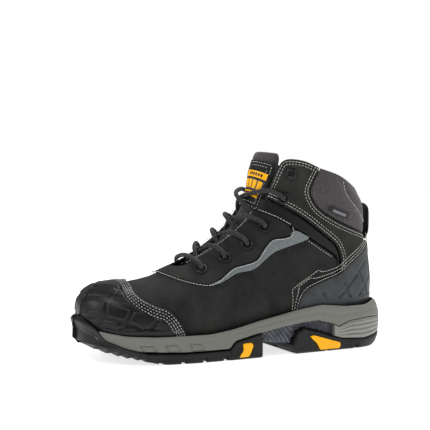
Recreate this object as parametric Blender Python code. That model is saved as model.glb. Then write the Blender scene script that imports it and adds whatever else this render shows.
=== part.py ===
"""Left steel toe work boot, mid height, as an assembly of its real pieces.

Frame: the toe points to -X, the outer (lateral) side of the foot to -Y, +Z is up.
The origin is on the ground under the middle of the boot. The drawing below is in millimetres,
and to_frame moves it to the origin and turns it into metres when a mesh is made.

The upper is cut from one closed surface, the shape of the last with the leather on it.
A point of that surface has a station u (0 at the toe tip, 1 at the collar) and a girth v
(0 on the ridge over the instep, -1 or 1 on the line under the sole and up the heel,
negative on the lateral side). Pattern pieces are drawn in side view, as (x, z) points,
and lie at a height h above or below that surface.
"""

import math

import bmesh
import bpy
import numpy as np
from mathutils import Matrix, Vector
from mathutils.geometry import delaunay_2d_cdt

MM = 0.001

# ---------------------------------------------------------------- driving dimensions

TOE_X = -147.0  # tip of the upper
TOE_ROUND_X = -97.0  # where the rounding of the toe starts
TOE_POLE_Z = 32.0
TOE_ROUND_STATION = 0.229  # the station of TOE_ROUND_X
TOE_PLAN_POWER = 2.3
TOE_TOP_POWER = 4.6
TOE_BOTTOM_POWER = 3.2

MIDDLE = (-2.0, -1.95, 0.0)  # the middle of the finished boot's box, on the ground, as drawn

SOLE_FRONT_X = -154.5
SOLE_BACK_X = 150.5
HEEL_ROUND_X = 103.0
CUP_BACK_X = 142.5  # back wall of the hollow that the upper stands in

LEATHER = 1.8  # thickness of the base leather
OVERLAY_LOW = 0.8  # height of the underside of what lies on the base leather
OVERLAY_HIGH = 2.4
GUARD_LOW = 1.3
GUARD_HIGH = 3.1
GAP = 0.5  # between pieces that touch

EYELET_HOLE_R = 3.0
EYELET_BARREL_R = 3.8
EYELET_FLANGE_R = 5.4
LACE_D = 3.8

TONGUE_HALF_WIDTH = 21.0
TONGUE_EDGE = [(0.41, 13.0), (0.55, 20.5), (0.80, 20.5), (0.95, 25.5)]  # half width by station
TONGUE_SWELL = [(0.80, 0.0), (0.90, 3.0), (1.0, 3.0)]  # how much the padded top stands up
TONGUE_TOP = -4.0  # height of the tongue's face, under the lacing
TONGUE_THICK = 9.0
TONGUE_HINGE = (-57.0, 0.0, 72.0)
FACING_SPAN = (0.735, 0.955)  # first and last station of the leather on the tongue
FACING_LATERAL = [(0.735, 20.0), (0.80, 20.0), (0.95, 24.0)]
FACING_MEDIAL = [(0.735, 10.0), (0.95, 6.0)]
LABEL_SPAN = (0.775, 0.908)
LABEL_LATERAL = [(0.775, 17.5), (0.908, 21.5)]
LABEL_MEDIAL = [(0.775, 5.5), (0.908, 2.0)]

PATCH_STEP_U = 11.0  # mesh size along and around the boot
PATCH_STEP_V = 8.0
U_TO_MM = 370.0  # rough length of one unit of u and of v, to space mesh points evenly
V_TO_MM = 125.0

# Columns: station, ridge x and z, underside x and z, lateral and medial half width, the share
# of the depth where the section is widest, and the powers of its upper and lower curve.
STATIONS = np.array(
    [
        [0.00, -147, 63.5, -147, 22, 40, 38, 0.66, 2.5, 4.0],
        [0.10, -128, 65.5, -128, 20, 43, 41, 0.68, 2.5, 4.0],
        [0.20, -104, 66.8, -104, 18, 46, 44, 0.70, 2.4, 4.0],
        [0.30, -80, 71, -78, 17, 50, 47, 0.72, 2.2, 4.2],
        [0.40, -58, 79.2, -50, 17, 52, 48, 0.74, 2.0, 4.2],
        [0.50, -37, 90, -16, 21, 50, 45, 0.77, 1.9, 4.4],
        [0.58, -19, 103.5, 24, 28, 46, 41, 0.76, 1.9, 4.6],
        [0.66, -4, 118.5, 74, 32, 42, 39, 0.66, 2.0, 4.6],
        [0.73, 6, 134.5, 126, 32, 39, 38, 0.54, 2.1, 3.4],
        [0.80, 13, 149, 139, 52, 37, 37, 0.50, 2.2, 2.5],
        [0.87, 17, 161, 137, 88, 36, 36, 0.50, 2.3, 2.3],
        [0.94, 21, 173, 132, 121, 38, 38, 0.50, 2.3, 2.2],
        [1.00, 25, 186, 123, 158, 41, 41, 0.50, 2.3, 2.2],
    ]
)

# Half width of the sole, lateral and medial, before its ends are rounded.
SOLE_X = [-156, -104, -80, -58, -20, 24, 72, 103]
SOLE_LATERAL = [50, 53, 57, 59, 57, 53, 49, 46]
SOLE_MEDIAL = [48, 51, 54, 55, 52, 48, 46, 45]

# Side-view lines of the sole, as (x, z).
FLOOR = [(-147, 22), (-128, 20), (-104, 18), (-78, 17), (-50, 17), (-24, 19.5), (-16, 21), (0, 24.5), (24, 28.5),
         (47, 31), (74, 32), (152, 32)]
RIM = [(-146, 21), (-143, 30), (-121, 25.5), (-94, 24), (-45, 24), (-23, 27), (0, 32), (23, 36), (44, 40),
       (70, 43), (96, 40), (119, 40), (134, 43.5), (143, 43), (152, 37)]
MIDSOLE_BOTTOM = [(-156, 19.8), (-143, 18), (-130, 15), (-110, 12), (-95, 11), (-74, 10), (-28, 10), (-24, 15.5),
                  (-21, 17), (0, 21.5), (5, 22), (23, 25), (47, 28), (65, 29), (81, 25), (87, 21.5), (92, 23.5),
                  (100, 26.5), (121, 28.5), (152, 27)]
OUTSOLE_WALL = [(-156, 41), (-152, 41), (-149, 38), (-142, 31), (-138, 23), (-123, 16), (-105, 11.5)]
OUTSOLE_GROUND = [(-156, 24), (-150, 15.5), (-143, 12.5), (-130, 8.5), (-110, 4), (-95, 1.2), (-86, 0), (10, 0)]
SHANK_BOTTOM = [(5, 14), (20, 11.5), (36, 10)]
HEEL_BLOCK_TOP = [(37, 9), (42, 20), (50, 23), (68, 18), (76, 15), (92, 10.5), (116, 9), (138, 12), (152, 18)]
HEEL_BLOCK_GROUND = [(37, 1.5), (42, 0), (126, 0), (135, 1.5), (142, 5), (148, 10), (152, 14)]

OUTSOLE_BACK_X = 5.0
SHANK_X = (6.0, 82.0)
HEEL_BLOCK_FRONT_X = 37.0
CRADLE_FRONT_X = 82.5
WAIST_X = (-28, -24, -21, 0, 5, 20, 23, 36, 37, 42, 47, 50, 65, 68, 76, 81, 87, 92, 100, 116, 121)  # bends in its lines

# Pattern pieces in side view, from the ridge or the front round to the heel.
VAMP_TOP = [(-62, 78.3), (-52, 73), (-43, 70.8), (-33, 75), (-20, 81.8), (-7, 87), (3, 91), (12, 100), (21, 108.3),
            (36, 112), (46, 113.5), (60, 104), (74, 95), (88, 86.5), (90.5, 82), (87, 70), (96, 65), (110, 73),
            (124, 82), (137.5, 87)]
FEATHER = [(139, 39), (125, 38), (95, 37.5), (60, 37), (24, 33.5), (0, 29.5), (-16, 26), (-60, 21), (-100, 21),
           (-130, 23)]
EYESTAY = [(-71.5, 74.6), (-69, 72), (-57, 68), (-41, 66), (-30, 70), (-16, 79), (-5, 82), (7, 86), (16, 96),
           (25, 104), (40, 106), (44, 110), (42, 115), (19, 127), (14.5, 128.5), (4, 115.5), (-13, 101.5),
           (-31, 90.5), (-47, 82), (-57, 78.7), (-62, 78.4)]
REFLECTIVE = [(-41, 65.2), (-31, 66.2), (-12, 74.5), (4, 77.5), (16, 85.5), (27, 92.5), (46, 98.5), (59, 103),
              (60.5, 105), (48, 111), (45.5, 109), (41, 104.9), (26, 102.9), (17, 95.2), (8, 85.1), (-4.5, 81),
              (-15.5, 78), (-29.5, 69)]
CUFF = [(24, 142), (26, 147), (30, 158), (34, 170), (40, 176.5), (56, 174.5), (70, 168.5), (64, 155), (62, 146),
        (69, 133), (83, 123), (105, 113), (136, 103), (137.5, 94), (124, 88.5), (110, 79.5), (100, 73), (94, 73.5),
        (96.5, 84), (90.5, 97.5), (74.5, 110), (53, 125.5)]
COLLAR_PANEL = [(119, 148), (110, 152.5), (92, 161.5), (71.5, 168), (65.5, 155), (63.5, 146.3), (70, 134.3),
                (84, 124.4), (106, 114.4), (134.5, 104.8)]
FLEX_PANEL = [(21.5, 135.5), (44, 116.5), (61, 105.8), (75, 96.6), (89, 88.3), (92, 82.3), (88.5, 72.5), (92.5, 73.5),
              (94.5, 84), (89, 96), (73, 108.4), (51.5, 123.8), (24, 139.8)]
TOE_GUARD_EDGE = [(-104.5, 69), (-109, 61), (-104, 54), (-94, 49), (-83, 45), (-75, 37), (-69, 27), (-67.5, 21.5)]
TOE_GUARD_FOOT = [(-67.5, 21.5), (-95, 21.5), (-120, 22.5)]
HEEL_GUARD = [(134.5, 98), (128, 95), (122, 89), (107, 80), (92, 70), (71, 63), (54, 56), (47, 49), (45, 41),
              (46, 36), (80, 38), (110, 38.5), (130, 39.5), (139, 41)]
STEEL_CAP_EDGE = [(-92, 69.6), (-92, 45), (-92, 23)]
STEEL_CAP_FOOT = [(-92, 23), (-110, 23), (-130, 24)]
HEEL_STIFFENER = [(136, 84), (120, 78), (100, 66), (84, 54), (78, 46), (95, 44), (125, 44), (138.5, 45)]
COLLAR_FOAM = [(118, 146), (109, 149.5), (92, 158), (71, 165.5), (57, 171), (52, 158), (54, 142), (66, 126),
               (84, 116), (106, 108), (133, 104)]
LINING_TOP = [(-64, 77), (-54, 66), (-41, 62), (-29, 66), (-14, 74), (0, 79), (14, 86), (30, 97), (46, 108),
              (60, 116), (70, 118), (88, 110), (108, 102), (134, 98)]
LINING_FOOT = [(139, 43.5), (125, 43), (95, 43), (60, 42), (24, 39), (0, 34.5), (-16, 31), (-60, 27), (-100, 28),
               (-130, 30)]

# Eyelet centres in side view. The upper two on each side are in the cuff.
EYELETS = [(-43, 77), (-20, 87), (2, 99), (20, 115), (38, 141), (44, 163)]
EYESTAY_EYELETS = 4
LACED_EYELETS = 5

# The lace's loose ends, tucked down inside the boot: from inside the top laced eyelet down to the
# footbed and forward along it. y is the distance from the middle; each side has its own last stretch.
LACE_DROP = [(43.3, 17.6, 137.9), (46.1, 15, 133), (47.9, 14.2, 126), (49.2, 14.6, 115), (50.5, 15.2, 102),
             (51.5, 15.5, 90), (52.5, 15.5, 78), (53, 16, 67), (52, 17, 57.5), (47.5, 18, 49.8), (40, 18.5, 45)]
LATERAL_RUN = [(29, 18.5, 42.2), (14, 18, 39), (0, 19, 36.6), (-14, 21, 33.5), (-28, 24, 31), (-42, 26, 30.2),
               (-56, 25.5, 29.2)]
MEDIAL_RUN = [(29, 18, 42.2), (14, 15.5, 39), (0, 13, 36.6), (-14, 12, 33.5), (-28, 13, 31), (-40, 16, 30.4),
              (-50, 19.5, 29.6)]
AGLET_LENGTH = 20.0
AGLET_D = 4.4

# The heel's pull loop in side view, and the woven tab in the collar seam.
PULL_LOOP = [(138, 99.5), (140.2, 103), (141.8, 108), (141.8, 127), (139.5, 131.8), (135, 134.2), (130.4, 134.2),
             (130.6, 131.8), (134.4, 131.8), (137.8, 130), (139.4, 126), (139.4, 109), (138, 104.5), (136.9, 101.5),
             (136.9, 99.5)]
PULL_LOOP_WIDTH = 20.0
SIDE_TAB = [(82, 133.5), (103, 125.5), (100, 120.5), (80, 128.5), (82, 133.5)]

# Side-view outlines of the coloured blocks let into the outsole.
FORE_INSERT = [(-16, 14), (-7, 14.5), (-5, 12), (-8, 5), (-10, 2), (-20, 2), (-15, 8)]
HEEL_INSERT = [(55, 15), (59, 16), (89, 7), (88, 2), (66, 2), (63, 8)]
INSERT_DEPTH = 5.0
TREAD_DEPTH = 4.0
TREAD_GROOVE = 5.0
TREAD_RIB_Y = 19.0  # distance of the two lengthwise grooves from the middle


# ---------------------------------------------------------------- the surface of the upper


def station_row(u):
    """The columns of STATIONS at u, as a smooth curve through its rows."""
    knots, values = STATIONS[:, 0], STATIONS[:, 1:]
    slopes = np.gradient(values, knots, axis=0)
    i = np.clip(np.searchsorted(knots, u, side="right") - 1, 0, len(knots) - 2)
    width = (knots[i + 1] - knots[i])[..., None]
    t = (u - knots[i])[..., None] / width
    return (
        (2 * t**3 - 3 * t**2 + 1) * values[i]
        + (t**3 - 2 * t**2 + t) * width * slopes[i]
        + (3 * t**2 - 2 * t**3) * values[i + 1]
        + (t**3 - t**2) * width * slopes[i + 1]
    )


def closing(t, power):
    """A superellipse's height, 1 at t = 0 and 0 at t = 1."""
    return np.maximum(0.0, 1.0 - t**power) ** (1.0 / power)


def surface_point(u, v):
    in_toe = u < TOE_ROUND_STATION
    reach = np.cos(np.clip(u / TOE_ROUND_STATION, 0, 1) * math.pi / 2)
    toe_x = TOE_ROUND_X + (TOE_X - TOE_ROUND_X) * reach
    toe_station = np.interp(toe_x, [TOE_X, -128, -104, TOE_ROUND_X], [0, 0.1, 0.2, TOE_ROUND_STATION])
    row = station_row(np.where(in_toe, toe_station, u))
    top_x, top_z, low_x, low_z, lateral, medial, widest, top_power, low_power = np.moveaxis(row, -1, 0)
    top_z = np.where(in_toe, TOE_POLE_Z + (top_z - TOE_POLE_Z) * closing(reach, TOE_TOP_POWER), top_z)
    low_z = np.where(in_toe, TOE_POLE_Z + (low_z - TOE_POLE_Z) * closing(reach, TOE_BOTTOM_POWER), low_z)
    top_x, low_x = np.where(in_toe, toe_x, top_x), np.where(in_toe, toe_x, low_x)
    v = (v + 1) % 2 - 1
    half_width = np.where(v < 0, lateral, medial) * closing(reach, TOE_PLAN_POWER)
    girth = np.abs(v)
    upper_angle = np.clip(2 * girth, 0, 1) * math.pi / 2
    lower_angle = np.clip(2 * girth - 1, 0, 1) * math.pi / 2
    upper = girth < 0.5
    across = np.where(
        upper, np.sin(upper_angle) ** (2 / top_power), np.maximum(np.cos(lower_angle), 0) ** (2 / low_power)
    )
    down = np.where(
        upper,
        widest * (1 - np.maximum(np.cos(upper_angle), 0) ** (2 / top_power)),
        widest + (1 - widest) * np.sin(lower_angle) ** (2 / low_power),
    )
    side = np.where(v < 0, -1.0, 1.0)
    return np.stack([top_x + (low_x - top_x) * down, side * half_width * across, top_z + (low_z - top_z) * down], -1)


def surface(u, v, h=0.0):
    """Points at height h over the upper's surface, in millimetres."""
    u, v, h = np.broadcast_arrays(np.asarray(u, float), np.asarray(v, float), np.asarray(h, float))
    step = 0.001
    inner = np.clip(u, 0.004, 1 - step)
    along = surface_point(inner + step, v) - surface_point(inner - step, v)
    around = surface_point(inner, v + step) - surface_point(inner, v - step)
    normal = np.cross(along, around)
    normal /= np.linalg.norm(normal, axis=-1, keepdims=True) + 1e-12
    normal = np.where((u < 0.004)[..., None], [-1.0, 0.0, 0.0], normal)
    return surface_point(u, v) + normal * h[..., None]


def locate(x, z):
    """Station and girth of the point that side view shows at (x, z). Points past the outline snap to it."""
    u_low, u_high, g_low, g_high = 0.0, 1.0, 0.0, 1.0
    count = 120
    for _ in range(3):
        u, g = np.meshgrid(np.linspace(u_low, u_high, count), np.linspace(g_low, g_high, count), indexing="ij")
        points = surface_point(u, g)
        i, j = np.unravel_index(((points[..., 0] - x) ** 2 + (points[..., 2] - z) ** 2).argmin(), u.shape)
        du, dg = 2 * (u_high - u_low) / count, 2 * (g_high - g_low) / count
        u_low, u_high = max(0.0, u[i, j] - du), min(1.0, u[i, j] + du)
        g_low, g_high = max(0.0, g[i, j] - dg), min(1.0, g[i, j] + dg)
        best = (float(u[i, j]), float(g[i, j]))
        count = 30
    return best


def girth_at(u, y):
    """The girth v of the point at station u on the upper half that is y from the middle plane."""
    row = station_row(np.asarray(u, float))
    half_width = row[..., 4] if y < 0 else row[..., 5]
    angle = np.arcsin(np.minimum(1.0, (abs(y) / half_width) ** (row[..., 7] / 2)))
    return math.copysign(1.0, y) * angle / math.pi


def traced(points, step=PATCH_STEP_V):
    """(station, girth) along a side-view line, with points no further apart than step."""
    line = []
    for (xa, za), (xb, zb) in zip(points[:-1], points[1:]):
        pieces = max(1, round(math.hypot(xb - xa, zb - za) / step))
        line += [(xa + (xb - xa) * k / pieces, za + (zb - za) * k / pieces) for k in range(pieces)]
    line.append(points[-1])
    return [locate(x, z) for x, z in line]


def over_ridge(half):
    """A closed outline from its lateral half, which starts and ends on the ridge or at the toe tip."""
    lateral = [(u, -g) for u, g in half]
    medial = [(u, g) for u, g in reversed(half) if g > 0]
    return lateral + medial


def round_heel(half):
    """A closed outline from its lateral half, which starts and ends on the heel's back line."""
    lateral = [(u, -g) for u, g in half]
    medial = [(u, g - 2) for u, g in reversed(half) if g < 1]
    return lateral + medial


def on_side(outline, side):
    """A closed outline that stays on one side; side is -1 for lateral and 1 for medial."""
    return [(u, side * min(g, 0.994)) for u, g in outline]


# ---------------------------------------------------------------- meshes


def to_frame(point):
    """A point of the drawing, in millimetres, as a place in the boot's frame, in metres."""
    return Vector([(float(c) - m) * MM for c, m in zip(point, MIDDLE)])


def add_object(name, points, faces, material, smooth=True):
    """One closed mesh from points in millimetres, with its faces turned outwards."""
    mesh = bpy.data.meshes.new(name)
    mesh.from_pydata([to_frame(p) for p in points], [], faces)
    shape = bmesh.new()
    shape.from_mesh(mesh)
    bmesh.ops.remove_doubles(shape, verts=shape.verts, dist=2e-6)
    bmesh.ops.dissolve_degenerate(shape, dist=1e-7, edges=shape.edges)
    bmesh.ops.recalc_face_normals(shape, faces=shape.faces)
    if shape.calc_volume(signed=True) < 0:
        bmesh.ops.reverse_faces(shape, faces=shape.faces)
    shape.to_mesh(mesh)
    shape.free()
    mesh.materials.append(material)
    if smooth:
        mesh.shade_smooth()
        mesh.set_sharp_from_angle(angle=math.radians(40))
    obj = bpy.data.objects.new(name, mesh)
    bpy.context.scene.collection.objects.link(obj)
    return obj


def inside(point, loop):
    """Whether a point lies inside a closed loop, by counting the edges it looks across."""
    x, y = point
    result = False
    for (xa, ya), (xb, yb) in zip(loop, loop[1:] + loop[:1]):
        if (ya > y) != (yb > y) and x < xa + (xb - xa) * (y - ya) / (yb - ya):
            result = not result
    return result


def distance_to(point, loop):
    p = np.array(point)
    a = np.array(loop)
    d = np.roll(a, -1, axis=0) - a
    t = np.clip(((p - a) * d).sum(1) / np.maximum((d * d).sum(1), 1e-12), 0, 1)
    return float(np.linalg.norm(a + t[:, None] * d - p, axis=1).min())


def divided(loop, longest):
    """A closed loop with its long edges cut into equal parts."""
    result = []
    for (xa, ya), (xb, yb) in zip(loop, loop[1:] + loop[:1]):
        pieces = max(1, math.ceil(math.hypot(xb - xa, yb - ya) / longest))
        result += [(xa + (xb - xa) * k / pieces, ya + (yb - ya) * k / pieces) for k in range(pieces)]
    return result


def hole_loop(u, v, radius, sides=12):
    """Flat pattern points of a hole that is round on the upper."""
    here, ahead, beside = surface_point(np.array([u, u + 0.01, u]), np.array([v, v, v + 0.01]))
    axes = np.stack([ahead - here, beside - here], axis=1) / 0.01
    first = axes[:, 0] / np.linalg.norm(axes[:, 0])
    second = np.cross(np.cross(axes[:, 0], axes[:, 1]), first)
    second /= np.linalg.norm(second)
    loop = []
    for k in range(sides):
        angle = 2 * math.pi * k / sides
        du, dv = np.linalg.pinv(axes) @ (radius * (math.cos(angle) * first + math.sin(angle) * second))
        loop.append(((u + du) * U_TO_MM, (v + dv) * V_TO_MM))
    return loop


def patch(name, outline, low, high, material, holes=(), step_u=PATCH_STEP_U, step_v=PATCH_STEP_V):
    """A piece of sheet from height low to high on the upper, cut to a closed (u, v) outline.

    holes are (u, v, radius in mm) of round holes through it.
    """
    flat = divided([(u * U_TO_MM, v * V_TO_MM) for u, v in outline], 1.4 * step_v)
    loops = [flat] + [hole_loop(*hole) for hole in holes]
    spots, edges = [], []
    for loop in loops:
        first = len(spots)
        spots += loop
        edges += [(first + k, first + (k + 1) % len(loop)) for k in range(len(loop))]
    low_corner, high_corner = np.min(flat, axis=0), np.max(flat, axis=0)
    for x in np.arange(math.ceil(low_corner[0] / step_u), high_corner[0] / step_u) * step_u:
        for y in np.arange(math.ceil(low_corner[1] / step_v), high_corner[1] / step_v) * step_v:
            spot = (float(x), float(y))
            clear = all(distance_to(spot, loop) > 0.4 * step_v for loop in loops)
            if clear and inside(spot, flat) and not any(inside(spot, loop) for loop in loops[1:]):
                spots.append(spot)
    cut = delaunay_2d_cdt([Vector(s) for s in spots], edges, [], 1, 1e-5)
    corners = np.array([tuple(s) for s in cut[0]])
    triangles = [
        tuple(f) for f in cut[2] if not any(inside(corners[list(f)].mean(0), loop) for loop in loops[1:])
    ]
    count = len(corners)
    u, v = corners[:, 0] / U_TO_MM, corners[:, 1] / V_TO_MM
    points = np.concatenate([surface(u, v, high), surface(u, v, low)])
    used = {}
    for a, b, c in triangles:
        for edge in ((a, b), (b, c), (c, a)):
            used[frozenset(edge)] = None if frozenset(edge) in used else edge
    faces = triangles + [(c + count, b + count, a + count) for a, b, c in triangles]
    faces += [(b, a, a + count, b + count) for a, b in filter(None, used.values())]
    return add_object(name, points, faces, material)


def line_at(line, x):
    """Height of a side-view line at x."""
    return float(np.interp(x, [p[0] for p in line], [p[1] for p in line]))


def sole_half(x, side, front=SOLE_FRONT_X, back=SOLE_BACK_X, inset=0.0):
    """Half width of the sole at x, with its toe and heel rounded towards front and back."""
    table = SOLE_LATERAL if side < 0 else SOLE_MEDIAL
    width = float(np.interp(x, SOLE_X, table)) - inset
    toe = np.clip((TOE_ROUND_X - x) / (TOE_ROUND_X - front), 0, 1)
    heel = np.clip((x - HEEL_ROUND_X) / (back - HEEL_ROUND_X), 0, 1)
    return max(0.0, width * float(closing(toe, TOE_PLAN_POWER) * closing(heel, TOE_PLAN_POWER)))


def sole_stations(first, last, step=10.0, extra=()):
    """Places along the sole, closer together where its ends are rounded."""
    even = list(np.arange(math.ceil(first / step), last / step) * step)
    for tip, inward in ((SOLE_FRONT_X, 1), (SOLE_BACK_X, -1)):
        even += [tip + inward * d for d in (0.4, 1.5, 3.5, 7.0, 12.0)]
    chosen = sorted({round(float(x), 3) for x in even + [first, last, *extra] if first <= x <= last})
    return [x for k, x in enumerate(chosen) if k == 0 or x - chosen[k - 1] > 0.03]


def loft(name, rings, material):
    """A closed solid from rings with the same number of points, its two ends capped."""
    size = len(rings[0])
    points = [p for ring in rings for p in ring]
    faces = []
    for r in range(len(rings) - 1):
        for k in range(size):
            a, b = r * size + k, r * size + (k + 1) % size
            faces += [(a, b, b + size), (a, b + size, a + size)]
    last = (len(rings) - 1) * size
    faces += [tuple(range(size)), tuple(last + k for k in reversed(range(size)))]
    return add_object(name, points, faces, material)


def slab(name, xs, bottom, top, material, bulge=0.0, inset=0.0):
    """A layer of the sole between two side-view lines."""
    rings = []
    for x in xs:
        low, high = line_at(bottom, x), line_at(top, x)
        left, right = sole_half(x, -1, inset=inset), sole_half(x, 1, inset=inset)
        middle = (low + high) / 2
        rings.append(
            [
                (x, -left, high),
                (x, -left - bulge * min(1.0, left / 20), middle),
                (x, -left, low),
                (x, right, low),
                (x, right + bulge * min(1.0, right / 20), middle),
                (x, right, high),
            ]
        )
    return loft(name, rings, material)


def boolean(obj, cutter, operation="DIFFERENCE"):
    """Applies a Boolean at once, and removes the cutter."""
    modifier = obj.modifiers.new("cut", "BOOLEAN")
    modifier.operation = operation
    modifier.object = cutter
    bpy.context.view_layer.update()
    evaluated = obj.evaluated_get(bpy.context.evaluated_depsgraph_get())
    made = bpy.data.meshes.new_from_object(evaluated)
    obj.modifiers.remove(modifier)
    obj.data = made
    bpy.data.objects.remove(cutter)


def box(name, low, high, material):
    corners = [(x, y, z) for x in (low[0], high[0]) for y in (low[1], high[1]) for z in (low[2], high[2])]
    faces = [(0, 1, 3, 2), (4, 6, 7, 5), (0, 4, 5, 1), (2, 3, 7, 6), (0, 2, 6, 4), (1, 5, 7, 3)]
    return add_object(name, corners, faces, material, smooth=False)


def prism(name, outline, y_low, y_high, material):
    """A side-view outline carried across from y_low to y_high. Each may be a function of x."""

    def place(y, x):
        return y(x) if callable(y) else y

    count = len(outline)
    points = [(x, place(y_low, x), z) for x, z in outline] + [(x, place(y_high, x), z) for x, z in outline]
    faces = [tuple(range(count)), tuple(reversed(range(count, 2 * count)))]
    faces += [(k, (k + 1) % count, (k + 1) % count + count, k + count) for k in range(count)]
    return add_object(name, points, faces, material, smooth=False)


def grown(outline, margin):
    """A side-view outline moved outwards from its middle by about margin."""
    middle = np.mean(outline, axis=0)
    away = np.array(outline) - middle
    size = np.linalg.norm(away, axis=1, keepdims=True)
    return [tuple(p) for p in middle + away * (1 + margin / size)]


def tube(name, route, diameter, material, pieces=2, sides=8):
    """A round cord along a smooth curve through the route's points, in millimetres."""
    line = smooth_line(route, pieces)
    ahead = np.gradient(line, axis=0)
    ahead /= np.linalg.norm(ahead, axis=1, keepdims=True)
    across = np.cross(ahead[0], [0.0, 0.0, 1.0])
    rings = []
    for place, forward in zip(line, ahead):
        across = across - forward * (across @ forward)
        across /= np.linalg.norm(across)
        other = np.cross(forward, across)
        turns = [2 * math.pi * k / sides for k in range(sides)]
        rings.append([place + diameter / 2 * (math.cos(a) * across + math.sin(a) * other) for a in turns])
    return loft(name, rings, material)


def smooth_line(route, pieces):
    """The Catmull-Rom curve through the route, with each of its stretches in the same number of pieces."""
    route = np.array(route, float)
    ends = np.vstack([2 * route[0] - route[1], route, 2 * route[-1] - route[-2]])
    line = []
    for a, b, c, d in zip(ends, ends[1:], ends[2:], ends[3:]):
        for t in np.arange(pieces) / pieces:
            line.append(0.5 * (2 * b + (c - a) * t + (2 * a - 5 * b + 4 * c - d) * t**2 + (3 * b - a - 3 * c + d) * t**3))
    return np.array([*line, route[-1]])


def eyelet(name, u, v, base, material):
    """A flanged metal ring through a sheet whose face is at height base."""
    profile = [
        (EYELET_HOLE_R, base - 1.9),
        (EYELET_BARREL_R, base - 1.9),
        (EYELET_BARREL_R, base + 0.35),
        (EYELET_FLANGE_R, base + 0.35),
        (EYELET_FLANGE_R - 0.4, base + 1.1),
        (EYELET_HOLE_R + 0.6, base + 1.4),
        (EYELET_HOLE_R, base + 0.8),
    ]
    centre = surface(u, v, 0.0)
    normal = Vector(surface(u, v, 1.0) - centre).normalized()
    turn = normal.to_track_quat("Z", "Y").to_matrix()
    sides, points = 12, []
    for r, h in profile:
        for k in range(sides):
            angle = 2 * math.pi * k / sides
            points.append(Vector(centre) + turn @ Vector((r * math.cos(angle), r * math.sin(angle), h)))
    faces = []
    for row in range(len(profile)):
        after = (row + 1) % len(profile)
        for k in range(sides):
            side = (k + 1) % sides
            faces.append((row * sides + k, row * sides + side, after * sides + side, after * sides + k))
    return add_object(name, points, faces, material)


def finish(name, colour, roughness, metallic=0.0):
    material = bpy.data.materials.new(name)
    material.use_nodes = True
    shader = material.node_tree.nodes["Principled BSDF"]
    shader.inputs["Base Color"].default_value = (*colour, 1.0)
    shader.inputs["Roughness"].default_value = roughness
    shader.inputs["Metallic"].default_value = metallic
    return material


# ---------------------------------------------------------------- the pieces


def make_sole(mat):
    """Outsole, midsole, arch shank, heel cradle and the coloured inserts."""
    ground = outsole_forefoot(mat["rubber"])
    heel = slab("outsole_heel", sole_stations(HEEL_BLOCK_FRONT_X, SOLE_BACK_X, extra=(38, 42, 45, 126)),
                HEEL_BLOCK_GROUND, HEEL_BLOCK_TOP, mat["rubber"])
    for body, places in ((ground, (-132, -112, -92, -72, -52, -32)), (heel, (75, 108))):
        low, high = places[0] - 60, places[-1] + 60
        for x in places:
            cut_groove(body, (x - TREAD_GROOVE / 2, x + TREAD_GROOVE / 2), (-80, 80), mat["rubber"])
        for y in (-TREAD_RIB_Y, TREAD_RIB_Y):
            cut_groove(body, (low, high), (y - TREAD_GROOVE / 2, y + TREAD_GROOVE / 2), mat["rubber"])
    for side, label in ((-1, "lateral"), (1, "medial")):
        for body, outline, place in ((ground, FORE_INSERT, "forefoot"), (heel, HEEL_INSERT, "heel")):
            insert(f"{label}_{place}_insert", body, outline, side, mat["yellow"])
    midsole(mat["midsole"])
    above_heel = [(x, z + GAP) for x, z in HEEL_BLOCK_TOP]
    under_midsole = [(x, z - GAP) for x, z in MIDSOLE_BOTTOM]
    slab("arch_shank", sole_stations(*SHANK_X, extra=WAIST_X), SHANK_BOTTOM + above_heel,
         under_midsole, mat["shank"], inset=5.0)
    slab("heel_cradle", sole_stations(CRADLE_FRONT_X, SOLE_BACK_X, extra=WAIST_X), above_heel,
         under_midsole, mat["midsole"], bulge=0.8)


def outsole_forefoot(material):
    """The forefoot tread, whose front rises in a bumper round the toe."""
    rings = []
    stations = (-151.7, -151.6, -151.2, -149, -146, -138, -110, -95, -86, -28, -24, -21, 0)
    for x in sole_stations(SOLE_FRONT_X, OUTSOLE_BACK_X, extra=stations):
        floor = line_at(MIDSOLE_BOTTOM, x) - GAP
        wall = max(floor, line_at(OUTSOLE_WALL, x)) if x < -105 else floor
        hollow = x > -151.65
        rings.append(
            trough(x, line_at(OUTSOLE_GROUND, x), wall, floor if hollow else wall,
                   lambda side, x=x: sole_half(x, side),
                   lambda side, x=x, hollow=hollow: midsole_half(x + 0.6, side) + GAP if hollow else 0.0)
        )
    return loft("outsole_forefoot", rings, material)


def trough(x, bottom, rim, floor, outer, inner):
    """One ring of a layer with raised edges. outer and inner give half widths for a side."""
    ring = []
    for side in (-1, 1):
        wide = outer(side)
        narrow = min(wide, inner(side))
        half = [(x, side * wide, bottom), (x, side * wide, rim), (x, side * narrow, rim), (x, side * narrow, floor)]
        ring += half if side < 0 else half[::-1]
    return ring


def cut_groove(body, x, y, material):
    boolean(body, box("groove", (x[0], y[0], -5), (x[1], y[1], TREAD_DEPTH), material))


def insert(name, body, outline, side, material):
    """A coloured block let into the side of the outsole."""

    def face(x, proud):
        return side * (sole_half(x, side) + proud)

    boolean(body, prism("pocket", grown(outline, 0.7), lambda x: face(x, 4.0), lambda x: face(x, -INSERT_DEPTH - 0.5),
                        material))
    prism(name, outline, lambda x: face(x, 0.6), lambda x: face(x, -INSERT_DEPTH), material)


def midsole_half(x, side):
    """Half width of the midsole, which is set back behind the bumper at the toe."""
    set_back = float(np.interp(x, [-125, -105], [3.0, 0.0]))
    return max(0.0, min(sole_half(x, side) - set_back, sole_half(x, side, front=-151.2)))


def cup_half(x, side):
    """Half width of the hollow that the upper sits in."""
    if not -150.6 < x < CUP_BACK_X:
        return 0.0
    return max(0.0, min(sole_half(x, side, front=-150.6, back=CUP_BACK_X, inset=3.4), midsole_half(x, side) - 1.6))


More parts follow.
